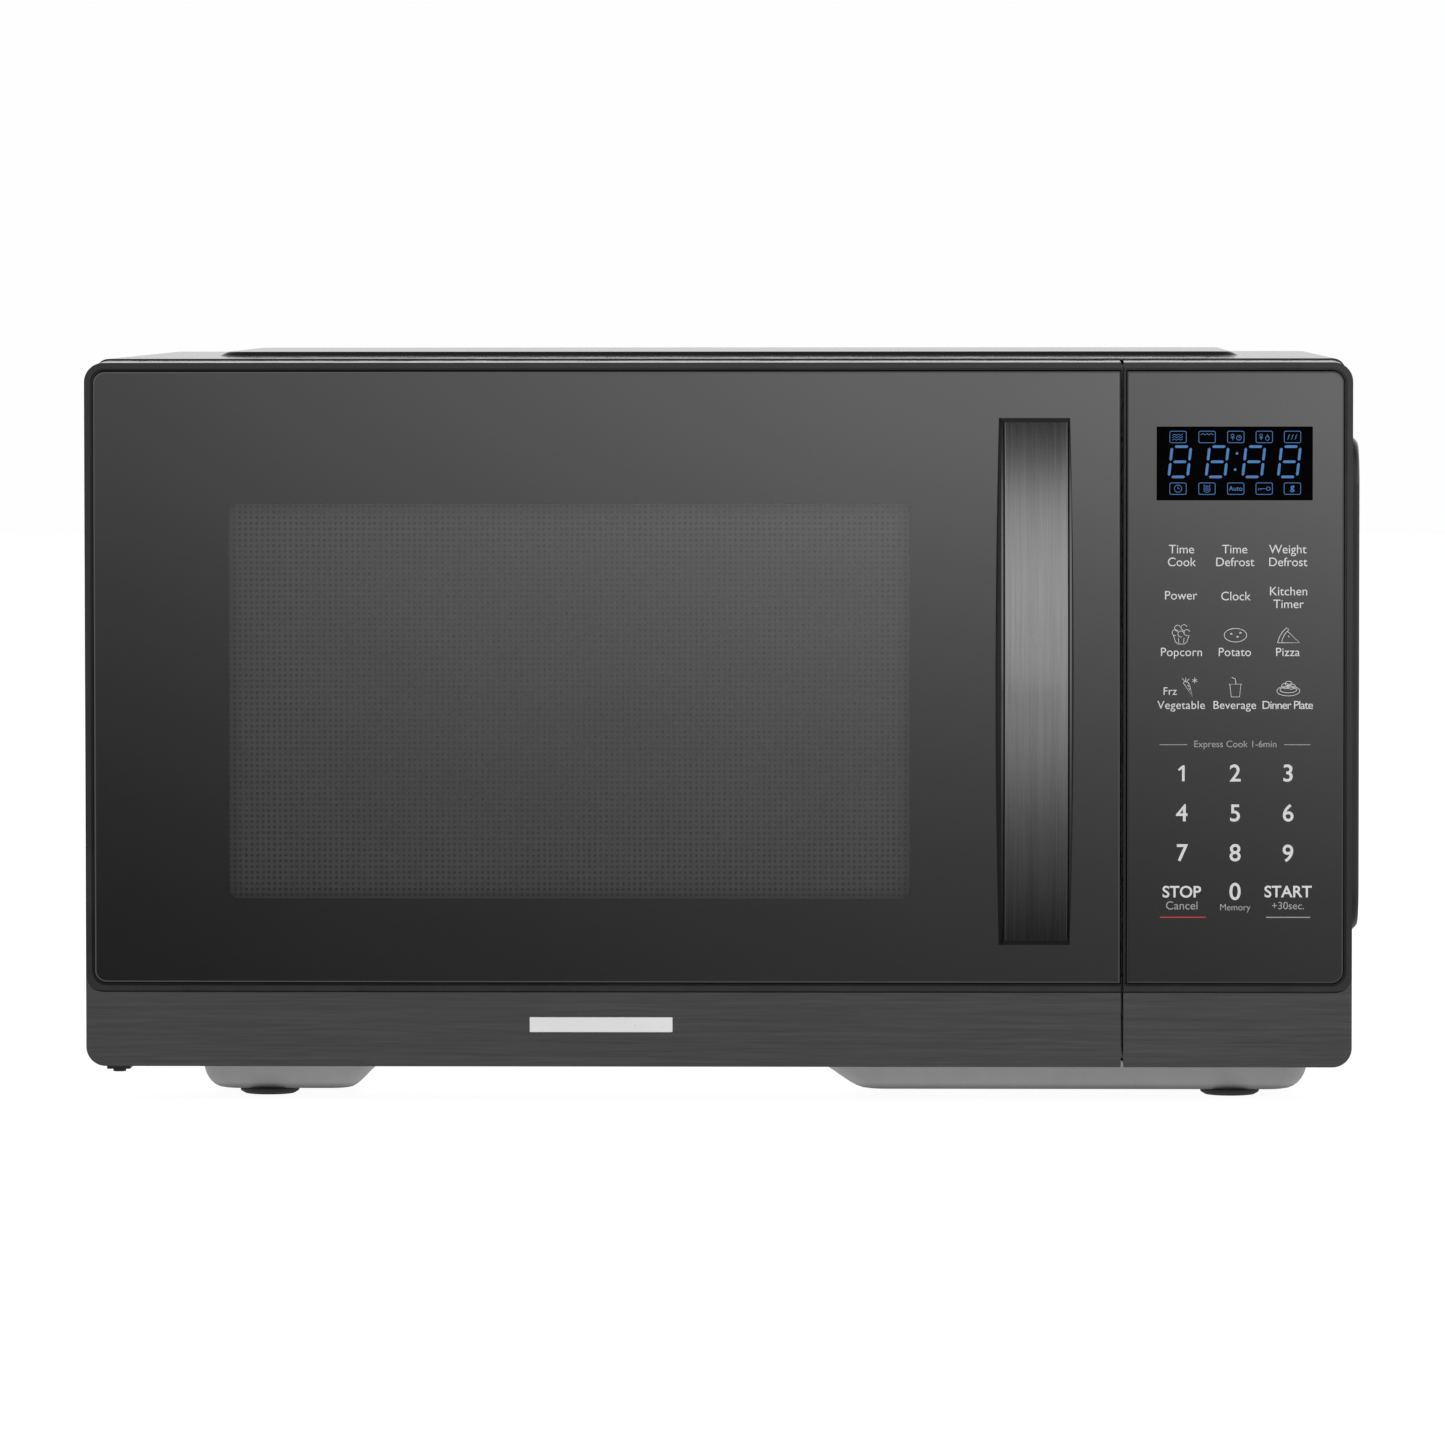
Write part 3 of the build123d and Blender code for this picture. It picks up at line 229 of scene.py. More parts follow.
def bare_metal(name, dark, light, rough, scale=120.0, stretch=(1, 1, 1)):
    """Rolled or machined metal: blotches of tone, rolling marks and rubbed spots."""
    s = Shading(name)
    rolled = s.noise(scale, 4, 0.6, stretch)
    return s.finish(s.ramp(rolled, (0.3, dark), (0.7, light)), s.gloss(45, 5, rough - 0.1, rough + 0.12),
                    s.bump(rolled, 0.2, 0.02), Metallic=1.0)


def galvanised():
    """Zinc-coated sheet: small soft crystals under the finish."""
    s = Shading("galvanised_sheet")
    crystals = s.brightness(s.cells(260.0, feature="SMOOTH_F1")["Color"])
    both = s.sum(crystals, 0.5, s.noise(60, 4), 0.5)
    return s.finish(s.ramp(both, (0.3, 0.4), (0.7, 0.48)), s.remap(both, 0.4, 0.51),
                    s.bump(s.noise(300, 3), 0.12, 0.02), Metallic=0.7)


def pan_coat_with_painted_shade():
    """Coated sheet of the bottom pan, with painted shade darkening it towards the lower edge of its
    platforms.
    """
    s = Shading("pan_coat_with_painted_shade")
    low, high = 0.0026, 0.0048
    # Painted shade: the colour falls to 0.4 of itself towards the bottom of the platforms, between the
    # heights low and high.
    edge = s.ramp(s.remap(s.axes("Object")["Z"], 0.0, 1.0, low, high), (0.0, 0.4), (1.0, 1.0))
    return s.finish(s.blend(1.0, s.cloud(90, 4, 0.41, 0.45), edge, "MULTIPLY"), s.gloss(60, 4, 0.44, 0.54),
                    s.bump(s.noise(300, 3), 0.12, 0.02), Metallic=0.35)


def enamel():
    """Grey cavity enamel with its fine dark speckle."""
    s = Shading("speckled_enamel")
    fleck = s.remap(s.cells(700.0)["Distance"], 0.0, 1.0, 0.1, 0.3)
    base = s.cloud(18, 3, (0.34, 0.335, 0.325), (0.4, 0.395, 0.385))
    return s.finish(s.blend(fleck, (0.32, 0.32, 0.31), base), s.gloss(35, 3, 0.26, 0.38),
                    s.bump(s.noise(200, 3), 0.2, 0.01))


def black_glass(name, ior):
    """Toughened glass printed black on its back."""
    s = Shading(name)
    return s.finish(s.cloud(300, 2, (0.001, 0.001, 0.0011), (0.002, 0.002, 0.0022)),
                    s.remap(s.noise(11, 5, 0.6), 0.035, 0.06), IOR=ior)


def display_mask():
    """Black mask of the display window, less glossy than the glass round it."""
    s = Shading("display_mask")
    return s.finish(s.cloud(400, 2, (0.0003, 0.0003, 0.0004), (0.0008, 0.0008, 0.001)),
                    s.gloss(25, 3, 0.3, 0.36), IOR=1.08)


def see_through(name, tint, ior, rough, haze=0.0):
    """Thin clear or smoked glass: straight-through tint with a Fresnel reflection over it.
    haze is the share of light that the glass scatters like milk."""
    s = Shading(name)
    s.tree.nodes.remove(s.shader)
    body = s.first("BsdfTransparent", {"Color": s.cloud(30, 3, darker(tint, 0.97), tint)})
    shine = s.first("BsdfGlossy", {"Color": 1.0, "Roughness": s.gloss(12, 4, rough, rough + 0.02)})
    if haze:
        body = s.mix_shaders(haze, body, s.first("BsdfDiffuse", {"Color": 0.8}))
    inside = s.node("NewGeometry").outputs["Backfacing"]
    fresnel = s.first("Fresnel", {"IOR": s.remap(inside, ior, 1 / ior, 0.0, 1.0)})
    s.feed(s.output.inputs["Surface"], s.mix_shaders(fresnel, body, shine))
    return s.material


def ink(name, colour):
    """Screen-printed ink on the glass."""
    s = Shading(name)
    return s.finish(s.ramp(s.noise(700, 3), (0.35, darker(colour, 0.94)), (0.65, colour)),
                    s.gloss(500, 2, 0.45, 0.6), s.bump(s.noise(1600, 2), 0.2, 0.01))


def glowing(name, colour):
    """Lit segment of the display: its light varies a little along the segment."""
    s = Shading(name)
    return s.finish((0.01, 0.02, 0.04), s.gloss(200, 2, 0.4, 0.5), Emission_Strength=1.0,
                    Emission_Color=s.cloud(450, 2, darker(colour, 0.82), colour))


def board():
    """Green circuit board with its copper traces under the solder mask."""
    s = Shading("circuit_board")
    traces = s.cells(260.0, distance="CHEBYCHEV")["Distance"]
    return s.finish(s.ramp(traces, (0.42, (0.02, 0.09, 0.035)), (0.55, (0.05, 0.2, 0.07))),
                    s.gloss(90, 3, 0.3, 0.45), s.bump(traces, 0.3, 0.05))


def laminated():
    """Stack of thin steel stampings, with varnish over it."""
    s = Shading("laminated_steel")
    sheets = s.waves(420.0, 0.6, "Y")
    return s.finish(s.ramp(sheets, (0.3, (0.11, 0.1, 0.09)), (0.8, (0.26, 0.25, 0.23))),
                    s.gloss(60, 4, 0.35, 0.5), s.bump(sheets, 0.5, 0.1), Metallic=0.8)


def wound():
    """Varnished copper wire, wound in layers."""
    s = Shading("copper_winding")
    turns = s.waves(260.0, 0.8, "Z")
    return s.finish(s.ramp(turns, (0.25, (0.16, 0.05, 0.02)), (0.75, (0.62, 0.26, 0.12))),
                    s.gloss(90, 3, 0.3, 0.45), s.bump(turns, 0.6, 0.3), Metallic=0.8)


def mica_sheet():
    """Pressed mica: silvery flakes in a warm binder."""
    s = Shading("mica_sheet")
    flakes = s.brightness(s.cells(240.0)["Color"])
    return s.finish(s.ramp(flakes, (0.15, (0.33, 0.28, 0.2)), (0.85, (0.55, 0.48, 0.36))),
                    s.remap(flakes, 0.3, 0.5, 0.1, 0.9), s.bump(flakes, 0.2, 0.03))


MATERIALS = {
    "cabinet_paint": painted("cabinet_paint", grey(29), grey(33), 0.09, 420, 0.003),
    "galvanised_steel": galvanised(),
    "pan_grey": pan_coat_with_painted_shade(),
    "cavity_enamel": enamel(),
    "dark_glass": black_glass("door_black_glass", 2.333),
    "panel_glass": black_glass("panel_black_glass", 2.15),
    "window_glass": see_through("smoked_window_glass", (0.84, 0.84, 0.85), 2.333, 0.035),
    "window_back": see_through("window_glass_back", (0.98, 0.98, 0.98), 1.05, 0.05),
    "clear_glass": see_through("clear_tray_glass", (0.95, 0.975, 0.97), 1.5, 0.02, 0.05),
    "window_film": see_through("inner_window_film", (0.9, 0.9, 0.9), 1.45, 0.06, 0.16),
    "lamp_glass": see_through("lamp_glass", (0.95, 0.95, 0.93), 1.5, 0.02, 0.02),
    "frame_plastic": moulded("frame_plastic", grey(38), grey(43), 0.13, 900, 0.005),
    "black_plastic": moulded("black_plastic", grey(26), grey(32), 0.45),
    "handle_plastic": moulded("handle_plastic", grey(14), grey(19), 0.42),
    "white_plastic": moulded("white_plastic", (0.6, 0.59, 0.56), (0.68, 0.67, 0.64), 0.42),
    "dark_brushed_metal": brushed("dark_brushed_metal", grey(100), grey(118), 0.3, (0.02, 1, 1), 0.006, 0.15),
    "handle_metal": brushed("handle_metal", grey(174), grey(196), 0.27, (1, 0.01, 0.01), 0.002, 0.05),
    # The glass seal is near-black and almost unreflective: a painted shadow of the gap between the frame and
    # the glass.
    "seal": moulded("glass_edge_painted_shadow", grey(5), grey(9), 0.85, Specular_IOR_Level=0.05),
    "handle_rim": moulded("handle_rim_metal", grey(134), grey(144), 0.2, 900, 0.004, Metallic=1.0),
    "badge_metal": moulded("badge_silver", grey(226), grey(236), 0.3, Metallic=0.25),
    "screen_steel": painted("screen_coating", grey(61), grey(64), 0.5, 500, 0.02),
    "rubber": moulded("rubber", grey(38), grey(46), 0.62, 700, 0.04),
    "steel": bare_metal("plated_steel", (0.42, 0.42, 0.4), (0.6, 0.6, 0.58), 0.36),
    "dark_steel": bare_metal("blackened_steel", 0.05, 0.09, 0.4),
    "core_steel": laminated(),
    "winding": wound(),
    "aluminium": bare_metal("aluminium", (0.62, 0.62, 0.63), (0.78, 0.78, 0.79), 0.34, 200, (1, 0.1, 1)),
    "circuit_board": board(),
    "mica": mica_sheet(),
    "display": display_mask(),
    "legend_ink": ink("legend_ink", (0.62, 0.62, 0.63)),
    "faint_ink": ink("faint_legend_ink", (0.3, 0.3, 0.305)),
    "red_ink": ink("red_ink", (0.5, 0.035, 0.05)),
    "blue_glow": glowing("blue_segments", (0.058, 0.185, 0.45)),
}

slot_of_node = {entry["node"]: entry["material_slot"] for entry in frame["record"]["subparts"]}
finish_of_node = {**slot_of_node, "base_plate": "pan_grey", "handle_body": "handle_plastic",
                  "control_glass": "panel_glass", "lower_hinge_bracket": "dark_steel",
                  "upper_hinge_bracket": "dark_steel"}
for node_name, cad_node in NODES.items():
    cad_node.data.materials.clear()
    cad_node.data.materials.append(MATERIALS[finish_of_node[node_name]])


# ------------ mesh helpers

SAME_PLACE = 2e-6
shaped_nodes = set()


def finish_piece(obj, node_name):
    """The piece moves with the node's body and stands for the node, which it hides."""
    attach(obj, NODES[node_name]["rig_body"])
    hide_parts(node_name)
    shaped_nodes.add(node_name)
    return obj


def add_object(name, data):
    obj = bpy.data.objects.new(name, data)
    bpy.context.scene.collection.objects.link(obj)
    return obj


def object_from(bm, name, finishes, smooth=35.0, edge_width=0.0, segments=2, weighted=False):
    """Mesh object from a bmesh, with sharp edges where it turns by more than the smooth angle.
    edge_width rounds those edges over. Weighted normals keep the large faces of a solid flat."""
    bmesh.ops.recalc_face_normals(bm, faces=bm.faces)
    for edge in bm.edges:
        edge.smooth = len(edge.link_faces) == 2 and edge.calc_face_angle(4) < math.radians(smooth)
    mesh = bpy.data.meshes.new(name)
    bm.to_mesh(mesh)
    bm.free()
    if "custom_normal" in mesh.attributes:
        mesh.attributes.remove(mesh.attributes["custom_normal"])
    for finish in finishes:
        mesh.materials.append(MATERIALS[finish])
    obj = add_object(name, mesh)
    if edge_width:
        bevel = obj.modifiers.new("edges", "BEVEL")
        bevel.width = edge_width * MM
        bevel.segments = segments
        bevel.limit_method = "ANGLE"
        bevel.angle_limit = math.radians(smooth)
        bevel.use_clamp_overlap = True
    if weighted:
        normals = obj.modifiers.new("normals", "WEIGHTED_NORMAL")
        normals.mode = "FACE_AREA"
        normals.weight = 95
        normals.keep_sharp = True
    return obj


def cad_copy(node_name):
    """The CAD node's mesh as a bmesh, with its separate faces joined into solids."""
    bm = bmesh.new()
    bm.from_mesh(NODES[node_name].data)
    bmesh.ops.remove_doubles(bm, verts=bm.verts, dist=SAME_PLACE)
    return bm


def softened(node_name, width, segments=2, reshape=None):
    """Copy of a CAD node with its edges rounded over, which stands for the node.
    reshape takes x, y and z in millimetres and gives the vertex its new height."""
    bm = cad_copy(node_name)
    bmesh.ops.dissolve_limit(bm, angle_limit=math.radians(0.6), verts=bm.verts, edges=bm.edges)
    for face in bm.faces:
        face.smooth = True
    if reshape:
        for vert in bm.verts:
            vert.co.z = reshape(*(vert.co / MM)) * MM
    obj = object_from(bm, node_name + "_shaped", [finish_of_node[node_name]], 30, width, segments, True)
    finish_piece(obj, node_name)


def millimetre_box(node_name):
    """Lowest and highest corner of a CAD node in millimetres."""
    low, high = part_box(node_name)
    return low / MM, high / MM


def rectangle(u0, u1, v0, v1):
    return (u0, v0), (u1, v0), (u1, v1), (u0, v1)


def corner_loop(u0, u1, v0, v1, radii, steps=8):
    """Rounded rectangle as (u, v) points, anticlockwise.
    Radii: lower left, lower right, upper right, upper left."""
    corners = ((u0, v0, 180), (u1, v0, 270), (u1, v1, 0), (u0, v1, 90))
    points = []
    for (u, v, start), radius in zip(corners, radii):
        centre_u = u + radius if u == u0 else u - radius
        centre_v = v + radius if v == v0 else v - radius
        for step in range(steps + 1):
            turn = math.radians(start + 90 * step / steps)
            points.append((centre_u + radius * math.cos(turn), centre_v + radius * math.sin(turn)))
    return points


def inset_loop(u0, u1, v0, v1, radii, inset, steps=8):
    """The same outline moved inwards."""
    smaller = [max(radius - inset, 0.05) for radius in radii]
    return corner_loop(u0 + inset, u1 - inset, v0 + inset, v1 - inset, smaller, steps)


def quarter(steps):
    """Cosine and sine of evenly spaced angles from 0 to a quarter turn."""
    turns = [math.radians(90 * step / steps) for step in range(steps + 1)]
    return [(math.cos(turn), math.sin(turn)) for turn in turns]


def ring(bm, points):
    """Vertices at points given in millimetres."""
    return [bm.verts.new(Vector(p) * MM) for p in points]


def bridge(bm, first, second, material=0, closed=True):
    """Quads between two rings of the same count."""
    count = len(first)
    for i in range(count if closed else count - 1):
        j = (i + 1) % count
        face = bm.faces.new((first[i], first[j], second[j], second[i]))
        face.material_index = material
        face.smooth = True


def skin(bm, rings, capped=False, closed=True):
    """Quads between neighbouring rings, and flat caps on the first and last of them."""
    for first, second in zip(rings, rings[1:]):
        bridge(bm, first, second, closed=closed)
    if capped:
        bm.faces.new(rings[0])
        bm.faces.new(rings[-1])


def cover(bm, loops):
    """Flat cover of the first loop, with the other loops left open as holes."""
    edges = []
    for loop in loops:
        for i, vert in enumerate(loop):
            pair = (vert, loop[(i + 1) % len(loop)])
            edges.append(bm.edges.get(pair) or bm.edges.new(pair))
    bmesh.ops.triangle_fill(bm, use_beauty=True, edges=edges)


# ------------ stage


camera_data = bpy.data.cameras.new("camera")
camera = add_object("camera", camera_data)
camera.location = (0.0916, -3.93, 0.3195)
aim = Vector((0.0018, -0.179, 0.1468)) - camera.location
camera.rotation_euler = aim.to_track_quat("-Z", "Y").to_euler()
camera.rotation_euler.rotate_axis("Z", -0.0007)
camera_data.lens = 243.6
camera_data.sensor_width = 36
camera_data.clip_end = 50
bpy.context.scene.camera = camera

bpy.context.scene.view_settings.view_transform = "Standard"
bpy.context.scene.view_settings.look = "None"

# Brightness of the room in front of the oven and behind it, from (degrees of elevation, level) pairs
FRONT_SKY = ((-90, 0.01), (-72, 0.025), (-60, 0.065), (-48, 0.1), (-37, 0.15), (-26, 0.25), (-15, 0.36),
             (-5, 0.46), (6, 0.54), (16, 0.58), (27, 0.61), (38, 0.56), (49, 0.44), (60, 0.13), (70, 0.035),
             (90, 0.02))
REAR_SKY = ((-90, 0.1), (-20, 0.3), (-4, 0.5), (0, 0.6), (2.5, 1.0), (6, 1.0), (12, 0.9), (20, 0.5),
            (35, 0.12), (60, 0.08), (90, 0.06))
WHITE = 0.991

world = bpy.data.worlds.new("studio")
bpy.context.scene.world = world
sky = NodeTree(world)
sky.tree.nodes.clear()
direction = sky.axes("Generated")
height = sky.remap(direction["Z"], 0.0, 1.0, -1.0, 1.0)
halves = [sky.ramp(height, *[((1 + math.sin(math.radians(degrees))) / 2, level) for degrees, level in stops])
          for stops in (FRONT_SKY, REAR_SKY)]
room = sky.blend(sky.remap(direction["Y"], 0.0, 1.0, -0.15, 0.35), *halves)
seen = sky.node("LightPath").outputs["Is Camera Ray"]
background = sky.first("Background", {"Color": sky.blend(seen, room, WHITE), "Strength": 1.0})
sky.node("OutputWorld", {"Surface": background})


def stage_plane(name, corners, material):
    mesh = bpy.data.meshes.new(name)
    mesh.from_pydata([Vector(c) for c in corners], [], [(0, 1, 2, 3)])
    mesh.materials.append(material)
    obj = add_object(name, mesh)
    return obj


floor_look = Shading("pale_floor")
floor_look.finish(floor_look.cloud(3, 3, 0.19, 0.2), 0.9, Emission_Color=1.0, Emission_Strength=0.93)
floor = stage_plane("floor", [(x, y, 0) for x, y in rectangle(-8, 8, -8, 8)], floor_look.material)
floor.visible_glossy = False

# Graded card in front of the oven, seen only as a reflection in its glass and metal
CARD_Y = -3.91
CARD_SIDES = (-0.75, 0.6, -0.3, 0.27)
card_look = Shading("gradient_card")
card_look.tree.nodes.remove(card_look.shader)
along = card_look.axes("Object")
rise = card_look.ramp(card_look.remap(along["Z"], 0.0, 1.0, -0.25, 0.28),
                      (0.0, 0.19), (0.17, 0.25), (0.29, 0.32), (0.41, 0.41), (0.52, 0.51), (0.64, 0.63),
                      (0.75, 0.775), (0.855, 0.88), (1.0, 1.0))
across = card_look.ramp(card_look.remap(along["X"], 0.0, 1.0, -0.58, 0.42),
                        (0.03, 0.35), (0.17, 0.44), (0.37, 0.56), (0.6, 0.71), (0.68, 0.75), (0.83, 0.84),
                        (0.96, 1.0))
lit = card_look.first("Emission", {"Color": card_look.blend(1.0, rise, across, "MULTIPLY"), "Strength": 1.13})
card_look.feed(card_look.output.inputs["Surface"], lit)
card = stage_plane("gradient_card", [(x, CARD_Y, z) for x, z in rectangle(*CARD_SIDES)], card_look.material)
card.visible_camera = False
card.visible_diffuse = False
card.visible_shadow = False
card.visible_transmission = False


def area_light(name, place, target, width, height, power):
    data = bpy.data.lights.new(name, "AREA")
    data.shape = "RECTANGLE"
    data.size = width
    data.size_y = height
    data.energy = power
    obj = add_object(name, data)
    obj.location = place
    obj.rotation_euler = (Vector(target) - Vector(place)).to_track_quat("-Z", "Y").to_euler()
    obj.visible_glossy = False
    obj.visible_camera = False


area_light("front_fill", (0.6, -2.6, 1.5), (0, -0.18, 0.15), 1.6, 1.2, 32)
area_light("rear_fill", (-0.7, 2.6, 1.7), (0, 0.2, 0.15), 1.8, 1.4, 45)

# ------------ glass and screen

FRONT_Y = -179.0
GLASS_BACK = -176.0
# Depth and width of the near-black band at the glass edge, a painted shadow of the gap round the glass
SHADOW_BAND_BACK = GLASS_BACK - 0.5
SHADOW_BAND_WIDTH = 0.4
GLASS_EDGE = 0.25
WINDOW = (-188.3, 73.7, 78.8, 230.8)
DISPLAY = (168.3, 228.1, 232.1, 260.4)


def glass_slab(node_name, name, radii, opening, opening_radius, finishes):
    """Glass plate in a near-black, dull band, a painted shadow of the gap between frame and glass, with a
    rounded front edge and an opening of another material.
    finishes: the glass, the front and the back of the opening, and the painted shadow band."""
    low, high = millimetre_box(node_name)
    sides = (low.x, high.x, low.z, high.z)
    bm = bmesh.new()
    back, outer, below = [ring(bm, [(u, y, v) for u, v in inset_loop(*sides, radii, inset)])
                          for y, inset in ((GLASS_BACK, 0), (SHADOW_BAND_BACK, 0), (SHADOW_BAND_BACK, SHADOW_BAND_WIDTH))]
    bridge(bm, back, outer, 3)
    bridge(bm, outer, below, 3)
    rounding = [(GLASS_EDGE * (1 - c), GLASS_EDGE * (1 - s)) for c, s in quarter(4)]
    flat = (GLASS_EDGE + 0.5, 0)
    for inset, depth in rounding + [flat]:
        loop = inset_loop(*sides, radii, SHADOW_BAND_WIDTH + inset)
        here = ring(bm, [(u, FRONT_Y + depth, v) for u, v in loop])
        bridge(bm, below, here)
        below = here
    for outline, y, finish in ((back, GLASS_BACK, 2), (below, FRONT_Y, 1)):
        window = ring(bm, [(u, y, v) for u, v in corner_loop(*opening, [opening_radius] * 4)])
        cover(bm, [outline, window])
        bm.faces.new(window).material_index = finish
    finish_piece(object_from(bm, name, finishes, 50), node_name)


glass_slab("door_glass", "door_glass_pane", (5, 0.6, 0.6, 5), WINDOW, 3.5,
           ["dark_glass", "window_glass", "window_back", "seal"])
glass_slab("control_glass", "control_glass_pane", (0.6, 5, 5, 0.6), DISPLAY, 0.3,
           ["panel_glass", "display", "panel_glass", "seal"])


def screen_mesh():
    """Perforated sheet: a square grid of round holes inside a plain margin."""
    low, high = millimetre_box("perforated_screen")
    middle = (low + high) / 2
    pitch, hole = 2.17, 0.62
    columns, rows = 124, 74
    left = middle.x - pitch * columns / 2
    bottom = middle.z - pitch * rows / 2
    bm = bmesh.new()
    corners = [ring(bm, [(left + pitch * i, middle.y, bottom + pitch * j) for i in range(columns + 1)])
               for j in range(rows + 1)]
    turns = [math.radians(202.5 + 45 * k) for k in range(8)]
    for j in range(rows):
        for i in range(columns):
            x, z = left + pitch * (i + 0.5), bottom + pitch * (j + 0.5)
            rim = ring(bm, [(x + hole * math.cos(t), middle.y, z + hole * math.sin(t)) for t in turns])
            square = (corners[j][i], corners[j][i + 1], corners[j + 1][i + 1], corners[j + 1][i])
            for k in range(4):
                bm.faces.new((square[k], rim[2 * k], rim[2 * k + 1]))
                bm.faces.new((square[k], rim[2 * k + 1], rim[(2 * k + 2) % 8], square[(k + 1) % 4]))
    up, down = [row[-1] for row in corners[:-1]], [row[0] for row in corners[:0:-1]]
    border = corners[0][:-1] + up + corners[-1][:0:-1] + down
    outline = corner_loop(low.x, high.x, low.z, high.z, (4, 4, 4, 4))
    cover(bm, [ring(bm, [(u, middle.y, v) for u, v in outline]), border])
    return object_from(bm, "perforated_screen_sheet", ["screen_steel"])


finish_piece(screen_mesh(), "perforated_screen")

# ------------ printed panel and lit display

PRINT_Y = FRONT_Y - 0.03
PRINT_THICK = 0.02
STROKE_THICKNESS = 0.05
CAP_SHARE = 0.66
PANEL_BODY = NODES["control_glass"]["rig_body"]


class Print:
    """Thin flat marks on the front of the control glass, gathered into one mesh."""

    def __init__(self):
        self.bm = bmesh.new()

    def polygon(self, points):
        face = self.bm.faces.new(ring(self.bm, [(x, PRINT_Y + PRINT_THICK, z) for x, z in points]))
        made = bmesh.ops.extrude_face_region(self.bm, geom=[face])
        moved = [v for v in made["geom"] if isinstance(v, bmesh.types.BMVert)]
        bmesh.ops.translate(self.bm, verts=moved, vec=(0, -PRINT_THICK * MM, 0))

    def add_curve(self, curve, x, z, thickness, turned=0.0):
        """Adds a curve or text, drawn in its own XY plane in millimetres, about x and z.
        thickness is the share of it that stays, and turned the height of a sign to be stood on its head."""
        obj = bpy.data.objects.new("mark", curve)
        mesh = bpy.data.meshes.new_from_object(obj)
        for vert in mesh.vertices:
            u, v, w = vert.co
            if turned:
                u, v = -u, turned - v
            vert.co = ((x + u) * MM, PRINT_Y * MM - thickness * w * MM, (z + v) * MM)
        self.bm.from_mesh(mesh)
        bpy.data.objects.remove(obj)
        bpy.data.meshes.remove(mesh)

    def text(self, words, x, baseline, cap, heavy=0.0, squeeze=1.0, turned=0.0):
        """Words centred on x, with capitals of height cap."""
        curve = bpy.data.curves.new("words", "FONT")
        curve.body = words
        curve.size = cap / CAP_SHARE
        curve.align_x = "CENTER"
        curve.offset = heavy
        curve.extrude = PRINT_THICK / 2
        curve.space_character = squeeze
        self.add_curve(curve, x, baseline, 1.0, turned)

    def stroke(self, lines, x, z, width, closed=False):
        """Lines of an even width through points about x and z."""
        curve = bpy.data.curves.new("lines", "CURVE")
        curve.dimensions = "3D"
        curve.bevel_depth = width / 2
        curve.bevel_resolution = 1
        for points in lines:
            spline = curve.splines.new("POLY")
            spline.points.add(len(points) - 1)
            for point, (u, v) in zip(spline.points, points):
                point.co = (u, v, 0, 1)
            spline.use_cyclic_u = closed
        self.add_curve(curve, x, z, STROKE_THICKNESS)

    def piece(self, name, finish):
        obj = object_from(self.bm, name, [finish], 30)
        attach(obj, PANEL_BODY)


def arc(u, v, wide, tall=None, steps=18):
    """Circle or ellipse as (u, v) points."""
    turns = [2 * math.pi * i / steps for i in range(steps + 1)]
    return [(u + wide * math.cos(t), v + (tall or wide) * math.sin(t)) for t in turns]


def puff(u, v):
    """Popped grain: a circle that is open on its right."""
    turns = [math.radians(20 + 270 * i / 18) for i in range(19)]
    return [(u + 1.15 * math.cos(t), v + 1.15 * math.sin(t)) for t in turns]


def oval(u, v, wide, tall):
    return arc(u, v, wide, tall, 28)


COLUMNS = (178.2, 198.6, 218.9)
LEFT, MIDDLE, RIGHT = COLUMNS
NAME_CAP, DIGIT_CAP, WORD_CAP = 3.15, 6.1, 4.1
BOLD = 0.1
DIGIT_LINE, DIGIT_PITCH = 124.3, 15.3
ONE = ((0.0, 0.0), (1.0, 0.0), (1.0, 6.1), (0.2, 6.1), (-1.6, 4.6), (-1.1, 4.0), (0.0, 4.8))
legend = Print()
faint = Print()
for column, words in zip(COLUMNS, (("Time", "Cook"), ("Time", "Defrost"), ("Weight", "Defrost"))):
    for word, line in zip(words, (211.8, 206.9)):
        legend.text(word, column - 0.3, line, NAME_CAP)
legend.text("Power", LEFT - 0.6, 194.1, NAME_CAP)
legend.text("Clock", MIDDLE, 193.8, NAME_CAP)
legend.text("Kitchen", RIGHT, 195.7, NAME_CAP)
legend.text("Timer", RIGHT, 190.8, NAME_CAP)
for column, name in zip(COLUMNS, ("Popcorn", "Potato", "Pizza")):
    legend.text(name, column - 0.3, 172.4, 3.05, squeeze=1.03)
legend.text("Frz", LEFT - 4.7, 157.5, 2.8)
for column, name, squeeze in zip(COLUMNS, ("Vegetable", "Beverage", "Dinner Plate"), (1.04, 1.02, 0.88)):
    legend.text(name, column - 0.3, 152.1, 2.95, squeeze=squeeze)
faint.text("Express Cook 1-6min", MIDDLE, 137.4, 2.4)
for left, right in ((169.6, 180.2), (217.3, 227.4)):
    faint.polygon(rectangle(left, right, 138.2, 138.5))
for row, digits in enumerate(("123", "456", "789")):
    for column, digit in zip(COLUMNS, digits):
        line = DIGIT_LINE - DIGIT_PITCH * row
        if digit == "1":
            legend.polygon([(column + u, line + v) for u, v in ONE])
        elif digit == "9":
            legend.text("6", column, line, DIGIT_CAP, BOLD, turned=DIGIT_CAP)
        else:
            legend.text(digit, column, line, DIGIT_CAP, BOLD)
legend.text("0", MIDDLE, 78.8, DIGIT_CAP, BOLD)
legend.text("STOP", LEFT - 0.1, 79.7, WORD_CAP, BOLD)
legend.text("START", RIGHT, 79.8, WORD_CAP, BOLD)
faint.text("Cancel", LEFT, 75.0, 3.0)
faint.text("Memory", MIDDLE, 74.7, 2.3)
faint.text("+30sec.", RIGHT, 75.1, 2.7)
faint.polygon(rectangle(210.5, 227.5, 71.8, 72.2))

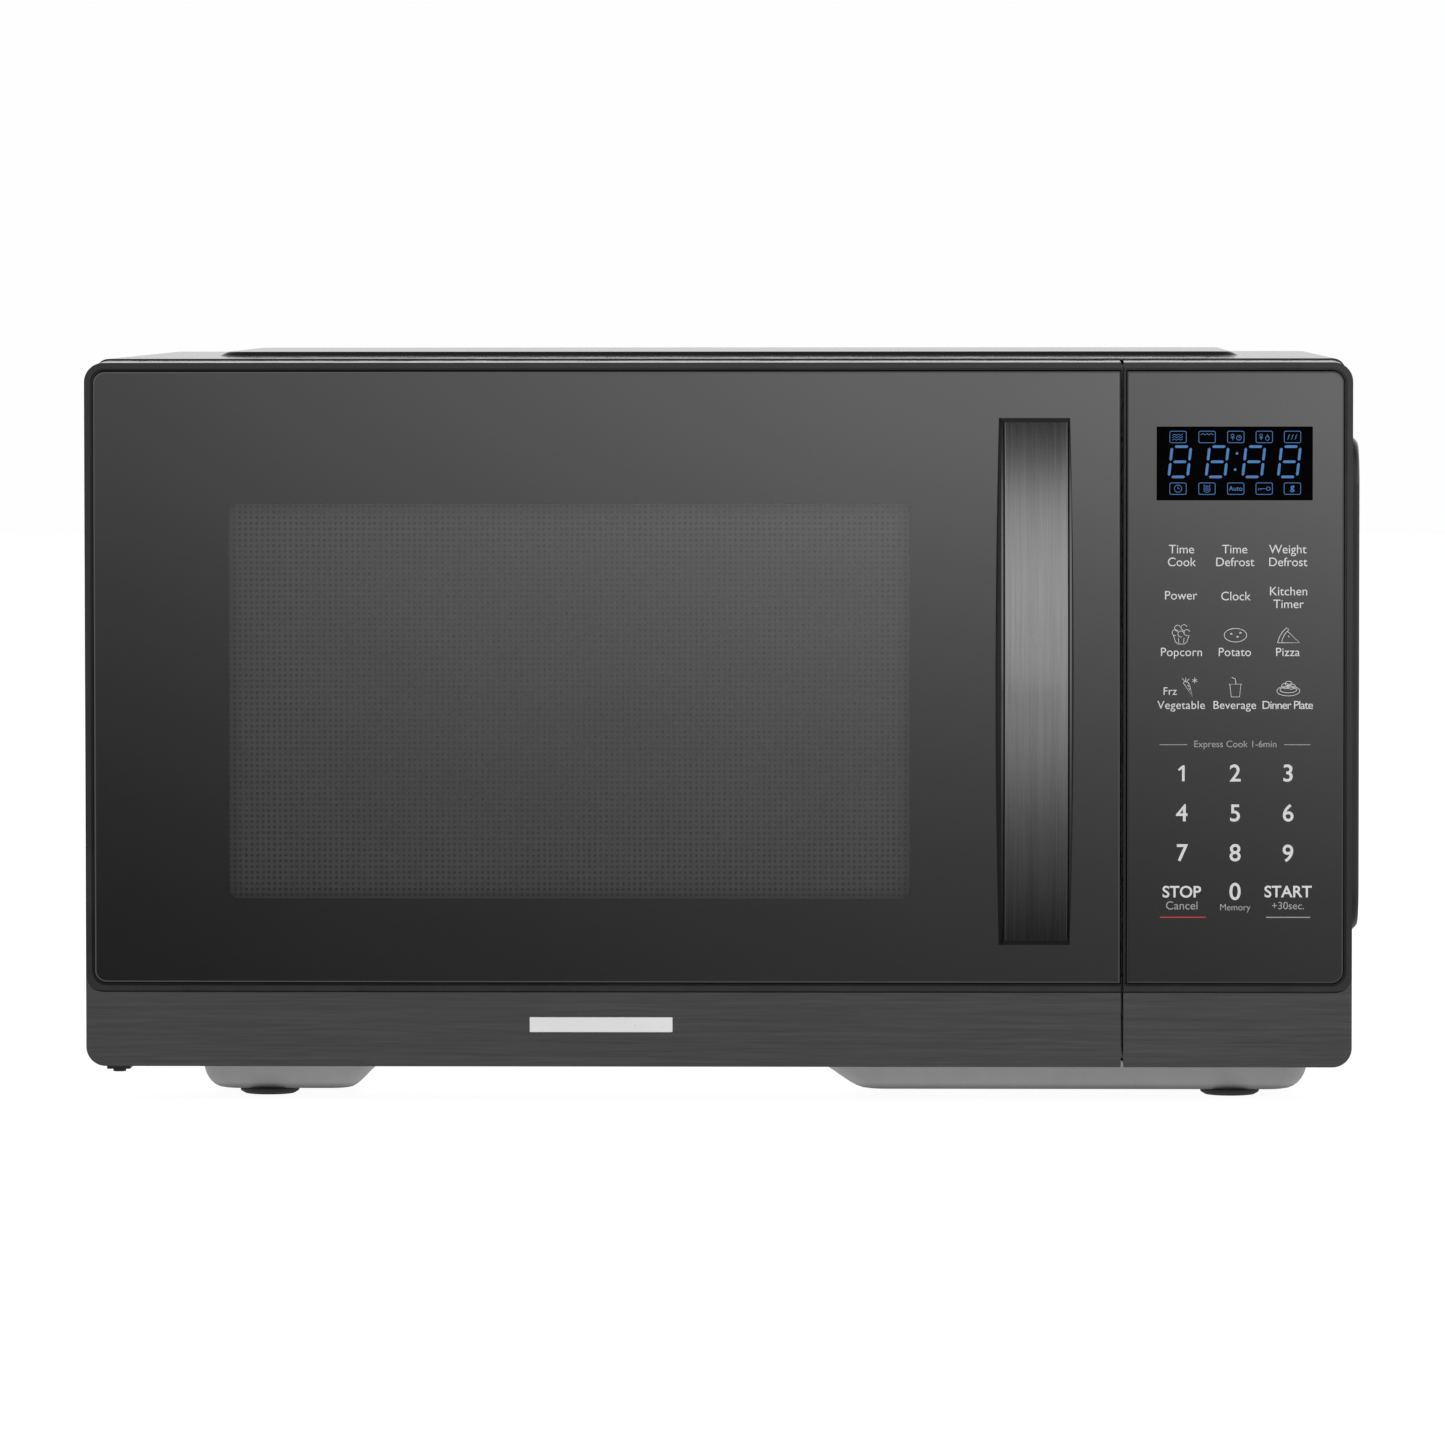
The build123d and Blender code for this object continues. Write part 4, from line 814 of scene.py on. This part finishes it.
TUB = [[(-3.0, -0.3), (-2.2, -2.9), (-1.2, -3.7), (1.2, -3.7), (2.2, -2.9), (3.0, -0.3)],
       [(-1.1, -1.3), (-0.9, -3.4)], [(1.1, -1.3), (0.9, -3.4)],
       *[puff(u, v) for u, v in ((-2.3, 0.7), (-0.1, 0.2), (2.2, 0.7), (-1.4, 2.4), (1.1, 2.6))]]
POTATO = [oval(0, 0, 4.3, 2.6), *[oval(u, v, 0.35, 0.2) for u, v in ((-1.6, 0.5), (0.8, -0.6), (1.9, 0.9))]]
PIZZA = [[(-4.2, -2.9), (-3.4, -0.6), (-2.2, 1.4), (-0.8, 2.8), (0.2, 2.2), (-1.2, 0.7), (-2.2, -1.2),
          (-2.7, -2.9), (-4.2, -2.9)],
         [(-0.4, 1.6), (4.2, -2.9), (-2.7, -2.9)], [(-0.2, -0.2), (0.4, -0.8)]]
CARROT = [[(-1.6, 1.9), (1.9, -3.4), (0.9, 0.9), (0.2, 2.0), (-1.0, 2.3), (-1.6, 1.9)],
          [(0.0, 1.0), (0.7, 0.2)], [(0.5, -0.3), (1.1, -0.9)],
          [(-0.9, 2.3), (-2.0, 3.6)], [(-0.6, 2.4), (-0.6, 3.8)], [(-0.3, 2.2), (0.7, 3.4)]]
FROST = [[(2.8, 1.6), (2.8, 3.8)], [(1.8, 2.2), (3.8, 3.2)], [(1.8, 3.2), (3.8, 2.2)]]
CUP = [[(-2.1, 1.6), (-1.6, -3.3), (1.6, -3.3), (2.1, 1.6), (-2.1, 1.6)], [(-2.5, 1.6), (2.5, 1.6)],
       [(0.2, 1.6), (0.0, 3.6), (-1.4, 4.2)]]
PLATE = [oval(0, -1.0, 4.4, 1.9), oval(0, -0.6, 3.2, 1.1), oval(-1.1, 0.9, 1.5, 1.0),
         oval(1.1, 0.7, 1.6, 1.0), oval(0.1, 1.9, 1.3, 0.8)]
for picture, x, z, width in ((TUB, LEFT - 0.4, 180.7, 0.2), (POTATO, MIDDLE, 180.4, 0.22),
                             (PIZZA, RIGHT, 180.4, 0.22), (CARROT + FROST, LEFT + 2.0, 160.3, 0.2),
                             (CUP, MIDDLE, 160.0, 0.22), (PLATE, RIGHT, 160.0, 0.2)):
    legend.stroke(picture, x, z, width)
legend.piece("panel_legends", "legend_ink")
faint.piece("panel_small_legends", "faint_ink")
underline = Print()
underline.polygon(rectangle(169.8, 187.3, 71.8, 72.2))
underline.piece("stop_underline", "red_ink")

SLANT = 0.11
DIGITS_X, DIGITS_Z = (177.2, 191.5, 205.5, 219.1), 246.9
COLON_X = 198.7
BAR_HALF = 0.5
SEGMENTS = [(-3.5, v, 3.5, v) for v in (5.8, 0, -5.8)]
SEGMENTS += [(u, v, u, v + 5.2) for v in (0.3, -5.5) for u in (-3.6, 3.6)]


def lean(points, x):
    """Points of a lit digit, slanted, about x."""
    return [(x + u + SLANT * v, DIGITS_Z + v) for u, v in points]


def bar_shape(u0, v0, u1, v1):
    """Pointed segment between two points, one of seven, a little shorter than the way between them."""
    along = Vector((u1 - u0, v1 - v0)).normalized()
    gap = along * (0.9 if v0 == v1 else 0.1)
    start, end = Vector((u0, v0)) + gap, Vector((u1, v1)) - gap
    across = Vector((-along.y, along.x)) * BAR_HALF
    along = along * BAR_HALF
    upper, lower = along + across, along - across
    return start, start + upper, end - lower, end, end - upper, start + lower


segments = Print()
for x in DIGITS_X:
    for segment in SEGMENTS:
        segments.polygon(lean(bar_shape(*segment), x))
for v in (-3.0, 3.2):
    segments.polygon(lean(arc(0, v, BAR_HALF, steps=12)[:-1], COLON_X))


def wave(u, v, count):
    return [(u + 0.8 * k, v + 0.5 * (k % 2)) for k in range(count)]


FRAME = corner_loop(-3.15, 3.15, -2.2, 2.2, [0.6] * 4, 3)
HOOK = [arc(-1.2, 0.6, 0.5), [(-1.2, 0), (-1.2, -1.2)], [(-1.9, -0.3), (-0.5, -0.3)]]
TOP_SIGNS = ([wave(-2.2, v, 6) for v in (-1.2, -0.3, 0.6)],
             [wave(-2.4, 0.8, 7)],
             HOOK + [arc(1.2, -0.3, 0.9), [(1.2, 0.3), (1.2, -0.3), (1.6, -0.3)]],
             HOOK + [arc(1.2, -0.6, 0.7), [(0.9, 0.2), (1.2, 1.0), (1.5, 0.2)]],
             [[(u - 0.5, -1.0), (u, -0.2), (u - 0.2, 0.2), (u + 0.4, 1.0)] for u in (-1.4, 0.0, 1.4)])
LOW_SIGNS = ([arc(0, 0, 1.4), [(0, 0.9), (0, 0), (0.7, 0)]],
             [arc(0, -0.2, 1.2), arc(0, -0.2, 0.5), [(-1.4, 1.0), (-0.8, 1.5)], [(1.4, 1.0), (0.8, 1.5)]],
             [],
             [arc(1.6, 0, 0.7), [(0.9, 0), (-2.2, 0), (-2.2, -0.7)], [(-1.3, 0), (-1.3, -0.6)]],
             [])
SIGNS_X = (176.5, 187.6, 198.6, 209.5, 220.3)
for row, z in ((TOP_SIGNS, 256.4), (LOW_SIGNS, 236.6)):
    for sign, x in zip(row, SIGNS_X):
        segments.stroke([FRAME], x, z, 0.22, closed=True)
        if sign:
            segments.stroke(sign, x, z, 0.2)
segments.text("Auto", 198.6, 235.8, 1.7)
segments.text("g", 220.3, 236.1, 2.3, 0.05)
segments.piece("display_segments", "blue_glow")

# ------------ handle

low, high = millimetre_box("handle_body")
HANDLE_X = (low.x + high.x) / 2
HANDLE_MID = (low.z + high.z) / 2
HALF_SPAN = (high.z - low.z) / 2
REACH = FRONT_Y - low.y
MIDDLE_WIDTH, END_WIDTH = high.x - low.x - 1, 27.3
THICKNESS = 9.5
INNER_SPAN = HALF_SPAN - 17
FACE_WIDTH = 24.6
FACE_SHIFT = 0.6
FACE_GAP = 0.25
RIM_WIDTH = 0.85


def arc_depth(reach, half_span, z):
    """How far an arc of that reach and half span stands out from the door at height z."""
    radius = (reach ** 2 + half_span ** 2) / (2 * reach)
    from_middle = min(abs(z - HANDLE_MID), half_span)
    return math.sqrt(radius ** 2 - from_middle ** 2) - (radius - reach)


def handle_width(z):
    return END_WIDTH + (MIDDLE_WIDTH - END_WIDTH) * (1 - ((z - HANDLE_MID) / HALF_SPAN) ** 2)


def stations(span, count):
    """Heights along the handle, closer together near its ends."""
    return [HANDLE_MID - span * math.cos(math.pi * i / count) for i in range(count + 1)]


def handle_shell():
    """Bowed grip with rounded edges and a shallow bed for its metal face, between two bright rims."""
    bm = bmesh.new()
    rings = []
    lip = FACE_WIDTH / 2 + FACE_GAP
    for z in stations(HALF_SPAN - 0.5, 64):
        out = arc_depth(REACH, HALF_SPAN, z)
        inner = arc_depth(REACH - THICKNESS, INNER_SPAN, z) if abs(z - HANDLE_MID) < INNER_SPAN else 0.0
        thick = out - inner
        soft = min(1.6, thick * 0.35)
        bed = min(1.0, thick * 0.4)
        half = handle_width(z) / 2
        flanks = []
        for side in (-1, 1):
            rim = min(RIM_WIDTH, half - side * FACE_SHIFT - lip - 0.2)
            corner = half - side * FACE_SHIFT - lip - rim
            edge = side * FACE_SHIFT + lip
            flank = [(half - 0.8 * min(1, thick / 4), inner), (half, inner + min(0.8, thick * 0.3))]
            flank += [(half - corner * (1 - c), out - soft * (1 - s)) for c, s in quarter(4)]
            flank += [(edge + 0.1, out), (edge, out - min(0.15, bed / 3)), (edge, out - bed)]
            flanks.append([(side * x, d) for x, d in flank])
        profile = flanks[0] + flanks[1][::-1]
        rings.append(ring(bm, [(HANDLE_X + x, FRONT_Y - d, z) for x, d in profile]))
    skin(bm, rings, capped=True)
    count, shoulder = len(profile), 6
    for index, face in enumerate(bm.faces):
        if index % count in (shoulder, count - 2 - shoulder):
            face.material_index = 1
    return object_from(bm, "handle_grip", ["handle_plastic", "handle_rim"], 40)


def handle_plate():
    """Brushed metal face, a thin curved plate with rounded edges."""
    bm = bmesh.new()
    rings = []
    half = FACE_WIDTH / 2 - FACE_GAP
    for z in stations(HALF_SPAN - 2.2, 72):
        out = arc_depth(REACH, HALF_SPAN, z)
        edge = ((0, 0.9), (0, 0.35), (0.12, 0.12), (0.4, 0.02))
        profile = [(inset - half, out - drop) for inset, drop in edge]
        profile += [(-half * k / 4, out) for k in (3, 2, 1)]
        profile += [(0, out)] + [(-x, d) for x, d in reversed(profile)]
        rings.append(ring(bm, [(HANDLE_X + FACE_SHIFT + x, FRONT_Y - d, z) for x, d in profile]))
    skin(bm, rings, capped=True)
    return object_from(bm, "handle_face_plate", ["handle_metal"], 50)


finish_piece(handle_shell(), "handle_body")
finish_piece(handle_plate(), "handle_face")

# ------------ mouldings with rounded edges

TOP_EDGE = 284.0
TOP_SLOPE = 0.018
STRIP_LINE = 42.1
RECESS_FRONT = -177.0
ARC_TOP = 2.0


def near_strip(z):
    """One at the top of the lower trim, falling to nothing a little above it."""
    return max(0.0, 1 - (z - STRIP_LINE) / ARC_TOP) if z > STRIP_LINE - 0.3 else 0.0


def frame_shape(x, y, z):
    """Top face rising a little towards the cabinet, and a shadow gap above the lower trim."""
    if z > TOP_EDGE:
        return z + TOP_SLOPE * (y - FRONT_Y)
    return z + 1.3 * near_strip(z) if y < RECESS_FRONT else z


def strip_shape(x, y, z):
    return z + 0.7 * near_strip(z)


for node_name in ("door_frame", "control_housing"):
    softened(node_name, 0.45, 3, frame_shape)
for node_name in ("door_trim_strip", "control_strip"):
    softened(node_name, 0.3, 3, strip_shape)
softened("badge_plate", 0.2)

# ------------ cabinet and pan

SHEET = 0.8
PAN_BOTTOM = 13.0


def smooth_step(t):
    return t * t * (3 - 2 * t)


def pad_rings(bm, place, outline, slope, rise, holes=()):
    """Pressed pad: rings from its foot up an S-shaped slope to its crest, on both sides of the sheet.
    place turns (u, v, height) into a point. Returns the foot rings of the outer and inner side."""
    feet, open_rings = [], []
    for depth in (0.0, -SHEET):
        stages = [(0, -1)] + [(step / 12, 0) for step in range(13)] + [(1, 1)]
        rings = []
        for t, flat in stages:
            loop = inset_loop(*outline, slope * t + flat, 12)
            rings.append(ring(bm, [place(u, v, depth + rise * smooth_step(t)) for u, v in loop]))
        skin(bm, rings)
        cut = [ring(bm, [place(u, v, depth + rise) for u, v in hole]) for hole in holes]
        cover(bm, [rings[-1]] + cut)
        feet.append(rings[0])
        open_rings.append(cut)
    for outer, inner in zip(*open_rings):
        bridge(bm, outer, inner)
    return feet


def vent_slots(width, height, centre_u, centre_v, pitch_u, pitch_v, columns, rows):
    """Grid of slots with round ends, as loops of (u, v) points."""
    loops = []
    for j in range(rows):
        for i in range(columns):
            u = centre_u + pitch_u * (i - (columns - 1) / 2)
            v = centre_v + pitch_v * (j - (rows - 1) / 2)
            loops.append(corner_loop(u - width / 2, u + width / 2, v - height / 2, v + height / 2,
                                     [width / 2 - 0.01] * 4, 4))
    return loops


def cabinet_mesh():
    """Wrap of thin sheet: two sides and a top, with rounded upper corners, pressed pads and vent slots."""
    high = millimetre_box("outer_cabinet")[1]
    half, top, bottom, front, rear, radius = 242.0, 286.2, PAN_BOTTOM, -144.0, 205.0, 5.0
    side_pad = (-110, 188, 56, 260, (24, 24, 24, 24))
    top_pad = (-204.5, 205.5, -29, 191, (12, 12, 12, 12))
    vents = {1: vent_slots(2.4, 22, 60, 200, 6.5, 30, 16, 2),
             -1: vent_slots(2.4, 22, 110, 215, 6.5, 30, 12, 1)}
    bm = bmesh.new()

    def corner(side, depth):
        """Upper corner of the wrap, from its side to its top, as (x, z) points."""
        reach = radius + depth
        return [(side * (half - radius + reach * c), top - radius + reach * s) for c, s in quarter(8)]

    for side in (-1, 1):
        feet = pad_rings(bm, lambda u, v, h: (side * (half + h), u, v), side_pad, 8, high.x - half,
                         vents[side])
        for foot, depth in zip(feet, (0, -SHEET)):
            wall = rectangle(front, rear, bottom, top - radius)
            cover(bm, [ring(bm, [(side * (half + depth), u, v) for u, v in wall]), foot])
            lines = [ring(bm, [(x, front, z), (x, rear, z)]) for x, z in corner(side, depth)]
            skin(bm, lines, closed=False)
        bm.faces.new(ring(bm, [(side * (half - inward), y, bottom) for inward, y in
                               rectangle(0, SHEET, front, rear)]))
    feet = pad_rings(bm, lambda u, v, h: (u, v, top + h), top_pad, 5, high.z - top)
    flat = half - radius
    for foot, depth in zip(feet, (0, -SHEET)):
        cover(bm, [ring(bm, [(x, y, top + depth) for x, y in rectangle(-flat, flat, front, rear)]), foot])
    for y in (front, rear):
        paths = []
        for depth in (0, -SHEET):
            foot = half + depth
            path = [(-foot, bottom), *corner(-1, depth), *corner(1, depth)[::-1], (foot, bottom)]
            paths.append(ring(bm, [(x, y, z) for x, z in path]))
        skin(bm, paths, closed=False)
    bmesh.ops.remove_doubles(bm, verts=bm.verts, dist=SAME_PLACE / 2)
    return object_from(bm, "cabinet_wrap", ["cabinet_paint"], 60, 0.1)


def pan_mesh():
    """Bottom pan with its four pressed platforms and its floor vents."""
    half, front, rear = 240.8, -143.0, 203.0
    drop = PAN_BOTTOM - millimetre_box("base_plate")[0].z
    # left, right, near and far edge, and the run of the left and the right slope
    platforms = ((-201.6, -130, -142.6, -95, 8, 15), (35, 227.8, -142.6, -95, 22, 9),
                 (-204, -130, 125, 198, 9, 15), (130, 226, 125, 198, 15, 9))
    vents = vent_slots(3, 24, 80, 40, 7, 30, 10, 2)
    bm = bmesh.new()
    sides = []
    for level in (PAN_BOTTOM, PAN_BOTTOM + SHEET):
        edge = ring(bm, [(x, y, level) for x, y in rectangle(-half, half, front, rear)])
        cut = [ring(bm, [(u, v, level) for u, v in vent]) for vent in vents]
        rims = []
        for left, right, near, far, left_slope, right_slope in platforms:
            rings = []
            for step in range(11):
                t = step / 10
                steep = 1 - math.sqrt(1 - smooth_step(t) ** 2)
                left_in, right_in = (steep, t) if right < 0 else (t, steep)
                loop = corner_loop(left + left_slope * left_in, right - right_slope * right_in,
                                   near + 3 * t, far - 4 * t, [9 - 2 * t] * 4)
                rings.append(ring(bm, [(u, v, level - drop * smooth_step(t)) for u, v in loop]))
            skin(bm, rings)
            bm.faces.new(rings[-1])
            rims.append(rings[0])
        cover(bm, [edge] + rims + cut)
        sides.append([edge] + cut)
    for outer, inner in zip(*sides):
        bridge(bm, outer, inner)
    return object_from(bm, "bottom_pan", ["pan_grey"], 50)


finish_piece(cabinet_mesh(), "outer_cabinet")
finish_piece(pan_mesh(), "base_plate")
softened("rubber_feet", 0.4)
softened("rear_spacers", 0.8)
softened("cord_gland", 0.5)

# ------------ works and interior


def lathe(bm, profile, steps, place):
    """Surface turned from (radius, height) points. place turns (u, v, height) into a point."""
    rings = [ring(bm, [place(u, v, height) for u, v in arc(0, 0, radius, steps=steps)[:-1]])
             for radius, height in profile]
    skin(bm, rings)
    return rings


def tray_mesh():
    """Glass tray with its track rib underneath and a rounded, raised rim."""
    low, high = millimetre_box("glass_tray")
    middle = (low + high) / 2
    under = low.z + 1.8
    profile = (
        (20, 0), (104.5, 0), (105.2, -0.1), (105.8, -0.9), (106.3, -1.6), (107, -1.8), (109, -1.8),
        (109.8, -1.6), (111, -0.6), (112, -0.1), (113, 0), (118.5, 0), (120, 0.2), (121, 0.7), (133.6, 9.2),
        (134.7, 10.3), (135, 11.4), (135, 12.8), (134.6, 13.6), (133.6, 14), (132.4, 13.9), (131.2, 13.3),
        (118.6, 6.0), (117, 5.3), (115, 5), (113, 5), (20, 5))
    bm = bmesh.new()
    rings = lathe(bm, profile, 128, lambda u, v, h: (middle.x + u, middle.y + v, under + h))
    bm.faces.new(rings[0])
    bm.faces.new(rings[-1])
    return object_from(bm, "turntable_tray", ["clear_glass"], 60)


def solid_boxes(node_name):
    """Lowest and highest corner, in millimetres, of every separate solid of a CAD node."""
    bm = cad_copy(node_name)
    seen, boxes = set(), []
    for start in bm.verts:
        if start in seen:
            continue
        seen.add(start)
        waiting, found = [start], []
        while waiting:
            vert = waiting.pop()
            found.append(vert.co / MM)
            fresh = [edge.other_vert(vert) for edge in vert.link_edges if edge.other_vert(vert) not in seen]
            seen.update(fresh)
            waiting += fresh
        boxes.append((Vector([min(c) for c in zip(*found)]), Vector([max(c) for c in zip(*found)])))
    bm.free()
    return boxes


def rear_screws():
    """Pan heads with a cross recess, facing the back."""
    arm, wide, recess, washer = 1.9, 0.4, 1.1, 0.5
    outline = []
    for u, v in ((-1, -1), (1, -1), (1, 1), (-1, 1)):
        tips = [(u * arm, v * wide), (u * wide, v * wide), (u * wide, v * arm)]
        outline += tips if u == v else tips[::-1]
    bm = bmesh.new()
    for count, (low, high) in enumerate(solid_boxes("cabinet_screws")):
        x, z, radius = (low.x + high.x) / 2, (low.z + high.z) / 2, (high.x - low.x) / 2
        base, dome = low.y + washer, high.y - low.y - washer
        profile = [(radius, low.y), (radius, base)]
        profile += [(radius * (1 - 0.3 * (1 - c)), base + dome * s) for c, s in quarter(5)[1:]]
        rings = lathe(bm, profile, 32, lambda u, v, h: (x + u, h, z + v))
        turn = math.radians(17 + 37 * count)
        cross = [(u * math.cos(turn) - v * math.sin(turn), u * math.sin(turn) + v * math.cos(turn))
                 for u, v in outline]
        mouth, bed = (ring(bm, [(x + u, y, z + v) for u, v in cross]) for y in (high.y, high.y - recess))
        cover(bm, [rings[-1], mouth])
        bridge(bm, mouth, bed)
        bm.faces.new(bed)
        bm.faces.new(rings[0])
    return object_from(bm, "rear_screw_heads", ["steel"], 40)


def spring_mesh():
    """Helical spring with closed ends, standing in the box of its CAD tube."""
    turns, wire, steps, flat = 9, 0.45, 24, 0.75
    low, high = millimetre_box("latch_spring")
    middle = (low + high) / 2
    radius = (high.x - low.x) / 2 - wire
    bottom, top = low.z + wire, high.z - wire
    bm = bmesh.new()
    section = arc(0, 0, wire, steps=10)[:-1]
    rings = []
    for i in range(turns * steps + 1):
        climb = min(max((i / steps - flat) / (turns - 2 * flat), 0), 1)
        turn = 2 * math.pi * i / steps
        out = Vector((math.cos(turn), math.sin(turn), 0))
        centre = Vector((middle.x, middle.y, bottom + (top - bottom) * climb)) + out * radius
        rings.append(ring(bm, [centre + out * u + Vector((0, 0, v)) for u, v in section]))
    skin(bm, rings, capped=True)
    return object_from(bm, "latch_coil_spring", ["steel"], 60)


finish_piece(tray_mesh(), "glass_tray")
finish_piece(rear_screws(), "cabinet_screws")
spring = finish_piece(spring_mesh(), "latch_spring")
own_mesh(spring)

# Every other node keeps its CAD shape, with its edges rounded over
PLAIN_EDGE = 0.4
EDGE_WIDTHS = {
    0.1: ("waveguide_cover", "line_filter_board", "control_board", "fan_shaft", "handle_screws",
          "inner_window"),
    0.2: ("front_plate", "cavity_box", "rear_panel", "waveguide", "magnetron_tube", "capacitor_clamp",
          "thermal_cutouts", "board_components", "lower_hinge_bracket", "upper_hinge_bracket", "door_panel",
          "switch_plunger_1", "switch_plunger_2", "switch_plunger_3", "fan_blade", "lamp_bulb"),
    0.9: ("transformer_windings",),
}
width_of_node = {node_name: width for width, names in EDGE_WIDTHS.items() for node_name in names}
for node_name in [name for name in NODES if name not in shaped_nodes]:
    softened(node_name, width_of_node.get(node_name, PLAIN_EDGE))
